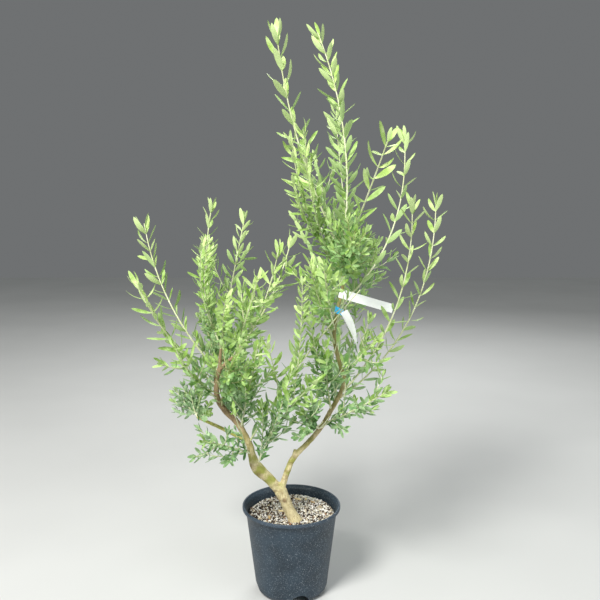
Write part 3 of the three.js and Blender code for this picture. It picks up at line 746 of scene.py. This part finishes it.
# Name, limb, height of the foot, tip, bow, leaf length, twigs, distance between pairs, age, and any long side
# shoots, each with its share of the stem, its tip and its bow.
PLUMES = [
    ("left_edge_plume", "left_bough", 518, (-335, -130, 786), (-16, 2, -9), 50, 0, 20, 0.0),
    ("left_high_plume", "left_bough", 551, (-362, 110, 897), (-27, 0, -15), 52, 0, 22, 0.0),
    ("left_low_plume", "left_bough", 487, (-246, -190, 662), (-11, 0, -6), 33, 3, 17, 0.2),
    ("left_crest", "left_leader", 607, (-184, 20, 945), (-22, 0, -2), 38, 2, 20, 0.1,
     (0.12, (-192, -110, 864), (-17, 1, -2)), (0.16, (-199, 150, 829), (-11, 1, -3)),
     (0.14, (-188, -60, 846), (-14, 0, -2)), (0.2, (-196, 50, 858), (-12, 0, -2))),
    ("left_inner_plume", "left_leader", 590, (-121, 200, 907), (-4, 3, -2), 42, 3, 19, 0.0,
     (0.1, (-137, -160, 757), (-2, 1, 2))),
    ("left_mid_front_plume", "left_arm", 586, (-68, -170, 802), (3, 1, 1), 42, 3, 19, 0.0),
    ("left_mid_plume", "left_arm", 597, (-27, -60, 849), (11, 1, -4), 46, 2, 23, 0.0),
    ("left_mid_back_plume", "left_arm", 577, (-1, 120, 857), (18, 1, -11), 48, 0, 26, 0.0),
    ("left_heart_front", "left_bough", 470, (-110, -180, 640), (-8, -6, 6), 24, 19, 10, 0.2),
    ("left_heart_back", "left_bough", 500, (-215, 230, 700), (-6, 10, -6), 24, 18, 10, 0.3),
    ("left_heart_far", "left_leader", 572, (-85, 260, 700), (4, 14, -8), 24, 15, 11, 0.2),
    ("left_heart_low", "left_bough", 440, (-142, 200, 525), (2, 12, -8), 24, 10, 10, 0.35),
    ("left_rising_plume", "left_bough", 388, (153, -110, 765), (-9, 1, 7), 46, 1, 30, 0.0,
     (0.32, (-52, -160, 657), (3, 1, 1))),
    ("middle_plume", "left_bough", 331, (61, -130, 567), (-14, 1, 9), 34, 2, 13, 0.05,
     (0.68, (26, -150, 786), (6, 1, 0)), (0.1, (-65, -105, 505), (4, 0, 0)),
     (0.2, (-26, -90, 520), (3, 0, -3)), (0.3, (4, -150, 596), (3, 0, 0))),
    ("left_upright_plume", "left_bough", 421, (-72, -120, 644), (0, 1, 0), 28, 9, 12, 0.1),
    ("left_upright_back_plume", "left_bough", 410, (-126, 60, 591), (-4, 1, -2), 27, 10, 11, 0.3),
    ("left_lowest_plume", "left_bough", 364, (-186, -205, 452), (-2, 2, 2), 28, 6, 12, 0.15,
     (0.1, (-126, -170, 512), (2, 0, 0))),
    ("left_far_tuft", "side_branch", 419, (-270, 130, 462), (-4, 2, -2), 23, 18, 10, 0.1,
     (0.02, (-197, 15, 468), (2, 0, 0)), (0.1, (-225, 60, 480), (0, 0, 0)),
     (0.05, (-192, -40, 462), (0, 0, 0))),
    ("right_tallest_plume", "right_leader", 836, (-30, -40, 1322), (-23, 1, -7), 58, 0, 29, 0.0,
     (0.4, (28, -72, 1112), (2, 0, 0))),
    ("right_tall_plume", "right_leader", 853, (62, 50, 1336), (32, 0, 4), 54, 0, 18, 0.0,
     (0.14, (110, 170, 1171), (-2, 2, -1))),
    ("right_front_tall_plume", "right_leader", 774, (5, -170, 1085), (-22, 4, -6), 40, 0, 16, 0.0,
     (0.3, (8, -140, 1000), (-8, 2, -3)), (0.15, (30, -190, 1060), (-8, 2, -3))),
    ("right_near_plume", "right_leader", 822, (188, -300, 1082), (5, 6, 6), 54, 0, 36, 0.0),
    ("right_back_plume", "right_leader", 712, (284, 190, 1116), (48, 2, -33), 50, 0, 32, 0.0),
    ("right_outer_plume", "right_bough", 496, (262, -120, 952), (47, 2, -16), 46, 0, 30, 0.0),
    ("right_edge_plume", "right_bough", 485, (345, 60, 952), (58, 0, -39), 46, 0, 30, 0.0),
    ("right_elbow_plume", "right_leader", 544, (189, -160, 668), (0, 2, 2), 35, 4, 18, 0.15,
     (0.15, (160, 60, 695), (-2, 2, 3)), (0.4, (181, -60, 693), (0, 0, 2))),
    ("right_mid_plume", "right_bough", 461, (77, -100, 639), (-3, 1, 0), 30, 9, 13, 0.25,
     (0.25, (42, -120, 690), (-2, 0, 2))),
    ("right_inner_back_plume", "right_leader", 682, (8, 210, 907), (7, 3, 0), 40, 0, 18, 0.1),
    ("right_inner_front_plume", "right_leader", 619, (41, -120, 828), (-4, 2, -1), 36, 5, 15, 0.05),
    ("right_low_plume", "right_bough", 429, (208, -200, 562), (4, 1, -3), 28, 5, 13, 0.2),
    ("right_lowest_plume", "right_bough", 416, (27, -120, 488), (-1, 0, 0), 24, 8, 10, 0.2,
     (0.02, (114, -75, 482), (2, 0, -3)), (0.04, (88, -90, 470), (0, 0, -3)),
     (0.3, (45, -130, 525), (0, 0, 2))),
    ("right_heart_back", "right_leader", 758, (150, 260, 930), (0, 14, -6), 27, 22, 11, 0.35),
    ("right_heart_far", "right_leader", 640, (60, 250, 800), (-4, 12, -8), 27, 9, 11, 0.3),
    ("right_low_back", "right_bough", 470, (130, 240, 600), (4, 12, -10), 32, 10, 13, 0.35),
    ("right_side_back", "right_leader", 668, (225, 200, 850), (8, 8, -10), 32, 12, 14, 0.3),
    ("right_heart_front", "right_leader", 790, (135, -190, 900), (2, -8, -4), 27, 20, 11, 0.35),
    ("right_side_front", "right_leader", 655, (70, -200, 830), (-2, -8, -4), 32, 5, 14, 0.2),
    ("right_high_back", "right_leader", 800, (60, 180, 1060), (-2, 6, -4), 38, 8, 18, 0.15),
]


class StemLine:
    """A quadratic curve from foot to tip whose middle stands off the straight line by bow."""

    def __init__(self, foot, tip, bow):
        foot, tip, bow = (np.array(v, float) for v in (foot, tip, bow))
        self.points = bent(foot, (foot + tip) / 2 + 2 * bow, tip, np.linspace(0, 1, 65)[:, None])
        steps = np.linalg.norm(np.diff(self.points, axis=0), axis=1)
        self.travelled = np.concatenate([[0], np.cumsum(steps)])
        self.length = self.travelled[-1]

    def at(self, share):
        return np.array([np.interp(share * self.length, self.travelled, self.points[:, k]) for k in range(3)])

    def along(self, share):
        return unit(self.at(min(share + 0.02, 1)) - self.at(max(share - 0.02, 0)))


def outwards(along, turn):
    """The direction that stands out square from a stem, turned round it by an angle in degrees."""
    level = unit(np.cross(along, (0, 1, 0.01)))
    return turned(level, np.cross(level, along), turn)


def shoots_of(row, draw):
    """The stem of a plume, its long side shoots and its twigs, each with its line, thickness and leaves."""
    _, limb, height, tip, bow, leaf, twigs, apart, age, *side = row
    stem = StemLine(limb_at(limb, height)[0], tip, bow)
    width = next(share for limit, share in LEAF_WIDTHS if leaf <= limit)
    shoots = [dict(line=stem, thick=1.0, leaf=leaf, width=width, apart=apart, age=age)]
    thin = {**shoots[0], "thick": STEM.twig_share}
    for share, side_tip, side_bow in side:
        line = StemLine(stem.at(share), side_tip, side_bow)
        shoots.append({**thin, "line": line, "apart": max(9, 0.7 * apart), "leaf": SIDE_LEAF * leaf})
    first_turn = 360 * draw()
    for i in range(twigs):
        share = lerp(TWIG.first, TWIG.last, (i + 0.5) / twigs)
        along, start = stem.along(share), stem.at(share)
        out = outwards(along, first_turn + 137.5 * i)
        heading = unit(turned(along, out, TWIG.angle) + (0, 0, TWIG.lift))
        length = min(TWIG.length, 0.75 * stem.length) * (0.65 + 0.5 * draw()) * (1 - 0.3 * share)
        line = StemLine(start, start + heading * length, (0, 0, -TWIG.sag * length))
        twig = dict(line=line, leaf=0.9 * leaf, apart=min(apart, 16), age=age + 0.15 * draw())
        shoots.append({**thin, **twig})
    return shoots


grown = {row[0]: shoots_of(row, seeded_draws(i + 1)) for i, row in enumerate(PLUMES)}
stem_length = sum(shoot["line"].length for shoots in grown.values() for shoot in shoots)
shoot_count = sum(map(len, grown.values()))
print(len(grown), "plumes,", shoot_count, "shoots,", round(stem_length / 1000, 1), "m of stem")

# %% [markdown]
# Young olive stems are pale, almost cream, and a little swollen at each pair of leaves. Each shoot is a
# tapering tube with seven sides. The swellings are where the leaves will stand, so the places of the leaves
# come first. A shoot ends in two small pairs that stand almost upright round the bud. No leaf cuts through
# a limb, and none hangs in front of the labels, which the photograph shows in full.

# %% Where the leaves stand
def leaf_at(shoot, travelled, turn, opening, size, draw):
    """One leaf: where it springs from, which way it points and how its blade lies."""
    share = travelled / shoot["line"].length
    along = shoot["line"].along(share)
    out = outwards(along, turn + LEAF_ANGLE.scatter * (draw() - 0.5))
    heading = turned(along, out, opening + LEAF_ANGLE.scatter * (draw() - 0.5))
    return dict(
        root=shoot["line"].at(share), along=heading, across=np.cross(along, out), share=share,
        length=size * (0.88 + 0.24 * draw()), roll=60 * (draw() - 0.5), arch=0.16 * (draw() - 0.85),
        width=shoot["width"] * (0.9 + 0.2 * draw()),
    )


def leaf_places(shoot, draw):
    """Crossed pairs from above the bare foot to the tip, then the close pairs round the bud."""
    length, leaf = shoot["line"].length, shoot["leaf"]
    bare = min(LEAF_BARE_FOOT, 0.15 * length)
    last = length - BUD_REACH * leaf
    pairs = max(1, round((last - bare) / shoot["apart"]))
    first_turn = 180 * draw()
    pair_list = []
    for pair in range(pairs + 1):
        travelled = lerp(bare, last, pair / pairs)
        share = travelled / length
        opening = lerp(LEAF_ANGLE.foot, LEAF_ANGLE.tip, share**1.3)
        pair_list.append((travelled, lerp(0.82, 1.0, min(1, share / 0.35)), opening))
    pair_list += [(length - back * leaf, grow, opening) for back, grow, opening in BUD_PAIRS]
    return [
        leaf_at(shoot, travelled, first_turn + 90 * order + side, opening, grow * leaf, draw)
        for order, (travelled, grow, opening) in enumerate(pair_list) for side in (0, 180)
    ]


LIMB_SAMPLES = np.array([
    np.append(*limb_point(stations, share))
    for stations in LIMBS.values() for share in np.linspace(0, 1, 12 * len(stations))
])
LABEL_MARKS = [
    (113, -8, 701), (125, -12, 690), (138, -12, 668), (150, -12, 640), (150, -10, 738), (185, -10, 728),
]
LABEL_CLEAR = 17
# Limb, lowest and highest height, and how wide a view of it the leaves leave open.
OPEN_VIEWS = [
    ("trunk", 180, 276, 16), ("left_bough", 270, 345, 16), ("left_bough", 345, 430, 8),
    ("left_bough", 430, 560, 8), ("left_leader", 563, 604, 7), ("left_arm", 560, 595, 6),
    ("right_bough", 268, 398, 14), ("right_bough", 398, 530, 9), ("right_leader", 545, 690, 6),
]
VIEW_STEP = 12


def open_marks():
    """Places that the camera sees past the leaves, each with the width that stays clear."""
    marks = [(*mark, LABEL_CLEAR) for mark in LABEL_MARKS]
    for name, low, high, clear in OPEN_VIEWS:
        for height in np.arange(low, high, VIEW_STEP):
            marks.append((*limb_at(name, height)[0], clear))
    return np.array(marks, float)


MARKS = open_marks()
SIGHTS = np.array(CAMERA_PLACE) - MARKS[:, :3]


def stands_clear(place):
    """Whether a leaf passes every limb, and every sight line to a mark, without touching it."""
    for part in (0.25, 0.5, 0.75, 1.0):
        point = place["root"] + place["along"] * place["length"] * part
        if np.any(np.linalg.norm(LIMB_SAMPLES[:, :3] - point, axis=1) < LIMB_SAMPLES[:, 3] + 1.5):
            return False
        offset = point - MARKS[:, :3]
        share = (offset * SIGHTS).sum(axis=1) / (SIGHTS**2).sum(axis=1)
        beside = np.linalg.norm(offset - share[:, None] * SIGHTS, axis=1)
        if np.any((share > 0) & (beside < MARKS[:, 3] * (1 - share))):
            return False
    return True


leaf_count = 0
for index, (name, shoots) in enumerate(grown.items()):
    draw = seeded_draws(500 + index)
    for shoot in shoots:
        shoot["leaves"] = [p for p in leaf_places(shoot, draw) if stands_clear(p)]
        leaf_count += len(shoot["leaves"])
print(leaf_count, "leaves")

# %% The stems
def stem_material(name, pale, deep):
    """Young stem skin: waxy, pale, a little greener in patches."""
    return mottled(name, 22, 3.0, [(0.35, deep), (0.62, pale)], {"Roughness": 0.55})


def stem_tube(shoot):
    """A tapering stem, swollen at each pair of leaves."""
    line = shoot["line"]
    shares = np.linspace(0, 1, max(4, int(line.length / STEM.step)))
    radii = lerp(STEM.foot, STEM.tip, shares) * shoot["thick"]
    for pair_share in {round(p["share"], 4) for p in shoot["leaves"]}:
        distance = (shares - pair_share) * line.length
        radii = radii * (1 + STEM.swelling * np.exp(-((distance / STEM.swollen_length) ** 2)))
    return tube([line.at(s) for s in shares], radii, STEM.sides, rounded_end=True)


STEM_GROUPS = {
    "left_stems": [n for n in grown if n.startswith(("left", "middle")) and "heart" not in n],
    "right_stems": [n for n in grown if n.startswith("right") and "heart" not in n],
    "heart_stems": [n for n in grown if "heart" in n],
}
pale_stem = stem_material("young_stem", "#eff1d2", "#d3daa6")
inner_stem = stem_material("inner_stem", "#c9cc98", "#9fa96c")
for group, names in STEM_GROUPS.items():
    stem_points, stem_faces = joined([stem_tube(s) for n in names for s in grown[n]])
    skin, slot_name = (inner_stem, "foliage_inner") if group == "heart_stems" else (pale_stem, "foliage")
    piece = make_piece(group, stem_points, stem_faces, [skin], slot_name, 60, stands_for=names)
    print(group, "stands for", len(names), "plumes,", triangles_in(piece), "triangles")

# %% [markdown]
# An olive leaf is leathery and narrow. A long one is about four times as long as wide, a small one under
# three. Its upper face is green with a shallow trough along the midrib, and its underside is silver-grey
# from a felt of tiny scales. One leaf is a closed thin shape: two edges, a midrib and a keel at six places
# along it, and a point. Its upper and lower faces take two materials.

# %% One leaf's shape
LEAF_STATIONS = [(0.0, 0.1), (0.1, 0.34), (0.27, 0.78), (0.5, 1.0), (0.73, 0.9), (0.91, 0.52)]
LEAF_ROUND = [(-1, 0.0), (0, 1.0), (1, 0.0), (0, -1.3)]
LEAF_TROUGH = 0.2
LEAF_THICK = 0.05


def leaf_template():
    """Across, along, trough and thickness for each point of a leaf one unit long and wide."""
    rows = []
    for along, width in LEAF_STATIONS:
        for x, level in LEAF_ROUND:
            across = x * width / 2
            rows.append((across, along, LEAF_TROUGH * abs(across), level * (0.35 + 0.65 * width)))
    rows.append((0.0, 1.0, 0.0, 0.0))
    return np.array(rows)


def leaf_faces():
    """The triangles of one leaf, and for each of them whether it lies above or below.

    They are cut the same way above and below, so that the two faces never cross.
    """
    faces, sides = [], []
    around, rings = len(LEAF_ROUND), len(LEAF_STATIONS)
    for ring in range(rings):
        for k in range(around):
            low, after = ring * around, (k + 1) % around
            a, d = low + k, low + after
            b, c = a + around, d + around
            if ring == rings - 1:
                cut = [(a, rings * around, d)]
            else:
                cut = [(a, b, d), (b, c, d)] if k % 2 else [(a, b, c), (a, c, d)]
            faces += cut
            sides += [0 if k < around / 2 else 1] * len(cut)
    return faces + [tuple(range(around))], sides + [1]


LEAF_POINTS = leaf_template()
LEAF_FACES, LEAF_SIDES = leaf_faces()
print("a leaf has", len(LEAF_POINTS), "points and", len(LEAF_FACES), "faces")

# %% [markdown]
# The tints. New leaves at the shoot tips are bright yellow-green, those lower on the shoot are a fuller
# green, and the old leaves in the heart of the tree are darker. Those on the lowest shoots are greyer. Each
# tint is a material of its own with a plain base colour, a slight drift over some centimetres, and a satin
# waxy skin. The underside is paler, greyer and matte.

# %% Leaf materials
def leaf_upper(name, deep, light):
    return mottled(name, 26, 3.0, [(0.38, deep), (0.6, light)], {"Roughness": 0.55, "IOR": 1.4})


def leaf_under(name, deep, light):
    return mottled(name, 1.2, 2.0, [(0.3, deep), (0.7, light)], {"Roughness": 0.8})


TINTS = {
    "tip": ("#a8ca68", "#d8f0a6", "#c3dc92", "#d5eaa9"),
    "fresh": ("#8ab050", "#c0df90", "#aaca7f", "#c1db9a"),
    "full": ("#6f9b50", "#a9cd8b", "#9abe82", "#b0ce98"),
    "inner": ("#548243", "#8eb97d", "#8aae7e", "#a1bf94"),
    "low": ("#7ca466", "#b2d09e", "#9fbf8e", "#b5cfa6"),
}
TINT_STEPS = [(0.22, "tip"), (0.6, "fresh"), (1.0, "full"), (math.inf, "inner")]
LOW_LEAVES = 530
TINT_MATERIALS = {
    name: [leaf_upper("leaf_top_" + name, *colours[:2]), leaf_under("leaf_underside_" + name, *colours[2:])]
    for name, colours in TINTS.items()
}


def tint_of(shoot, place, draw):
    """The tint of one leaf, by how old its part of the tree is."""
    low = max(0.0, (640 - place["root"][2]) / 640)
    age = shoot["age"] + 0.6 * (1 - place["share"]) + 1.2 * low + 0.16 * (draw() - 0.5)
    tint = next(tint for limit, tint in TINT_STEPS if age < limit)
    return "low" if tint == "full" and place["root"][2] < LOW_LEAVES + 80 * (draw() - 0.5) else tint


def leaf_points(place):
    """The points of one leaf where it stands, in millimetres."""
    along, across = place["along"], place["across"]
    face = np.cross(along, across)
    side = turned(across, face, place["roll"])
    top = np.cross(along, side)
    length, width = place["length"], place["length"] * place["width"]
    x, y, trough, level = LEAF_POINTS.T
    arch = place["arch"] * length * (4 * y * (1 - y) - 0.3 * y**2)
    lift = trough * width + level * LEAF_THICK * width + arch
    return place["root"] + np.outer(x * width, side) + np.outer(y * length, along) + np.outer(lift, top)


# %% All the leaves
leaf_groups = {}
for index, (name, shoots) in enumerate(grown.items()):
    draw = seeded_draws(900 + index)
    region = "left" if name.startswith(("left", "middle")) else "right"
    for shoot in shoots:
        for place in shoot["leaves"]:
            leaf_groups.setdefault((region, tint_of(shoot, place, draw)), []).append(leaf_points(place))
for (region, tint), leaves in sorted(leaf_groups.items()):
    name, materials = f"{region}_leaves_{tint}", TINT_MATERIALS[tint]
    slot_name = "foliage_inner" if tint == "inner" else "foliage"
    points, faces = joined([(leaf, LEAF_FACES) for leaf in leaves])
    piece = make_piece(name, points, faces, materials, slot_name, 60, LEAF_SIDES * len(leaves))
    print(name, len(leaves), "leaves,", triangles_in(piece), "triangles")

# %% [markdown]
# A few old leaves have dropped on the soil and dried to tan. They lie nearly flat, each at its own turn.

# %% Dropped leaves
# Place on the bed and turn of each leaf.
DROPPED = [
    (24, 66, 150), (34, 61, 75), (46, 52, -30), (64, 22, 10), (-62, 22, 60), (-34, 4, -15), (-52, -48, 95),
]


def dropped_leaf(x, y, turn, draw):
    """One leaf that lies on the grains."""
    turn = math.radians(turn)
    along = unit(np.array([math.cos(turn), math.sin(turn), 0.12 * (draw() - 0.3)]))
    root = np.array([x, y, soil_height(x, y) + 5.5])
    across = np.cross(along, (0, 0, 1))
    return leaf_points(dict(
        root=root, along=along, across=across, length=13 + 9 * draw(), roll=50 * (draw() - 0.5),
        arch=0.2 * (draw() - 0.5), width=0.26 + 0.08 * draw(),
    ))


dry_leaf = leaf_upper("dry_olive_leaf", "#b08a52", "#e2d09e")
dropped_draw = seeded_draws(77)
points, faces = joined([(dropped_leaf(*place, dropped_draw), LEAF_FACES) for place in DROPPED])
piece = make_piece("dropped_leaves", points, faces, [dry_leaf], "soil", 60)
print(len(DROPPED), "dropped leaves,", triangles_in(piece), "triangles")

# %% [markdown]
# Two blank plant labels hang on the right leader: a long white strip looped round it, and a shorter one
# whose blue head grips the wood and whose white tail curls down. They are thin printed-stock plastic
# without print, slightly bent, so they are made as ribbons with a real thickness. Both are given a painted
# glow: they shine a little of their own through emission, which makes them brighter.

# %% The labels
LABEL_THICK = 0.7
LOOP = Values(slack=1.3, first=-50, last=270, steps=40)
# Strength of the painted glow that both labels emit.
PAINTED_GLOW = 0.36
STRIP = Values(at=741, reach=128, height=20, droop=-0.27, wave=1.6)
CLIP = Values(at=702, reach=14, height=15, droop=-0.35, wave=0)
TAIL = Values(right=7, below=6, drop=78, out=38, width=19, clear=2.6, rows=26, columns=6)


def slab(front, back):
    """Points and faces of a thin sheet between two grids of points, closed round its rim and facing out."""
    rows, columns = front.shape[:2]
    grid = np.arange(rows * columns).reshape(rows, columns)
    shift = rows * columns
    faces = []
    for a in grid[:-1, :-1].ravel().tolist():
        b = a + shift
        faces += [(a, a + 1, a + columns + 1, a + columns), (b, b + columns, b + columns + 1, b + 1)]
    rim = np.concatenate([grid[0], grid[1:, -1], grid[-1, -2::-1], grid[-2:0:-1, 0]]).tolist()
    faces += [(a, a + shift, b + shift, b) for a, b in zip(rim, rim[1:] + rim[:1])]
    points = np.vstack([front.reshape(-1, 3), back.reshape(-1, 3)])
    volume = sum(points[f[0]] @ np.cross(points[f[i]], points[f[i + 1]]) for f in faces for i in (1, 2))
    return points, [f[::-1] for f in faces] if volume < 0 else faces


def ribbon(line, heights, lean, droop):
    """A band that follows a line in plan, with rows of points from its lower to its upper edge."""
    line = np.array(line)
    along = unit(np.gradient(line, axis=0))
    side = np.column_stack([along[:, 1], -along[:, 0]])
    sheets = []
    for shift in (LABEL_THICK / 2, -LABEL_THICK / 2):
        flat = line + side * shift
        levels = [z + droop * flat[:, 0] for z in heights]
        sheets.append(np.array([np.column_stack([flat + np.outer(z, lean[:2]), z]) for z in levels]))
    return slab(*sheets)


def band_shape(spec):
    """A label band: most of a loop round the leader, then a run to the right with a slight wave."""
    centre, radius = limb_at("right_leader", spec.at)
    half = spec.height / 2
    low, high = (limb_at("right_leader", spec.at + rise)[0] for rise in (-half, half))
    loop = radius * LOOP.slack + LABEL_THICK / 2
    line = corner(0, 0, loop, LOOP.first, LOOP.last, LOOP.steps - 1)
    for x in np.linspace(2, spec.reach, max(6, int(spec.reach / 5))):
        line.append((x, -loop + spec.wave * math.sin(x / 21.0) * (x / spec.reach)))
    points, faces = ribbon(line, np.linspace(-half, half, 6), (high - low) / spec.height, spec.droop)
    return points + centre, faces


def tail_shape():
    """The curled tail between its two curved edges."""
    centre, radius = limb_at("right_leader", CLIP.at)
    start = centre + np.array([TAIL.right, -(radius * LOOP.slack + TAIL.clear), -TAIL.below])
    drop, out, width = TAIL.drop, TAIL.out, TAIL.width
    along, across = np.linspace(0, 0.985, TAIL.rows)[:, None], np.linspace(0, 1, TAIL.columns)
    inner = bent(*np.array([(0, 0), (out * 0.45, -drop * 0.35), (out, -drop)]), along)
    outer = bent(*np.array([(width * 0.8, width * 0.45), (out * 1.1, -drop * 0.4), (out, -drop)]), along)
    flat = lerp(inner[:, None], outer[:, None], across[:, None])
    curl = 2.4 * np.sin(math.pi * across) * along - 5.0 * along**2
    front = np.dstack([flat[..., 0], -0.6 * curl, flat[..., 1]])
    points, faces = slab(front, front + (0, LABEL_THICK, 0))
    return points + start, faces


def label_stock(name, colour, shade, rough):
    """Thin printed-stock plastic with nothing printed on it: faint handling marks, a soft sheen and a painted
    glow.
    """
    glow = {"Emission Color": linear(colour), "Emission Strength": PAINTED_GLOW}
    return mottled(name, 18, 4.0, [(0.3, shade), (0.6, colour)], {"Roughness": rough, "IOR": 1.5, **glow})


white_stock = label_stock("white_label_stock", "#fbfcfd", "#eef1f3", 0.45)
blue_stock = label_stock("blue_label_head", "#35b3ea", "#2596cf", 0.4)
make_piece("long_label", *band_shape(STRIP), [white_stock], "label", stands_for=["label_strip"])
make_piece("label_head", *band_shape(CLIP), [blue_stock], "label_clip", stands_for=["label_clip"])
make_piece("label_tail_blade", *tail_shape(), [white_stock], "label", stands_for=["label_tail"])
print("labels made")

# %% [markdown]
# The stage is a plain pale floor under soft light: a broad key from the front left and above, a weaker fill
# from the right, a soft light from behind, and a pale sky all round, close to the bright open shade that
# the plant stood in.

# %% Floor and light
FLOOR_HALF = 6000
corners = np.array([(-1, -1, 0), (1, -1, 0), (1, 1, 0), (-1, 1, 0)]) * FLOOR_HALF
floor = mesh_object("floor", corners, [(0, 1, 2, 3)])
pale = mottled("pale_floor", 600, 2.0, [(0.3, "#d6d8d6"), (0.7, "#dcdedc")], {"Roughness": 0.9})
floor.data.materials.append(pale)


def area_light(name, place, target, size, power, colour):
    """A round soft light that looks at a target. Both places are in metres."""
    data = bpy.data.lights.new(name, "AREA")
    data.shape, data.size, data.energy, data.color = "DISK", size, power, colour
    lamp = placed(name, data)
    lamp.location = place
    x, y, z = unit(np.array(target) - place)
    lamp.rotation_euler = (math.acos(-z), 0, math.atan2(y, x) - math.pi / 2)


area_light("key", (-1.4, -2.2, 3.2), (0, 0, 0.6), 1.3, 172, (1.0, 0.98, 0.95))
area_light("fill", (2.4, -1.8, 1.8), (0, 0, 0.6), 2.2, 28, (0.95, 0.98, 1.0))
area_light("back", (0.6, 2.6, 2.6), (0, 0, 0.8), 2.0, 44, (1.0, 1.0, 1.0))
world = bpy.data.worlds.new("sky")
world.use_nodes = True
sky = world.node_tree.nodes["Background"].inputs
sky["Color"].default_value, sky["Strength"].default_value = linear("#e6eaec"), 0.2
bpy.context.scene.world = world
bpy.context.scene.view_settings.view_transform = "Standard"
print("three lights and a pale sky")
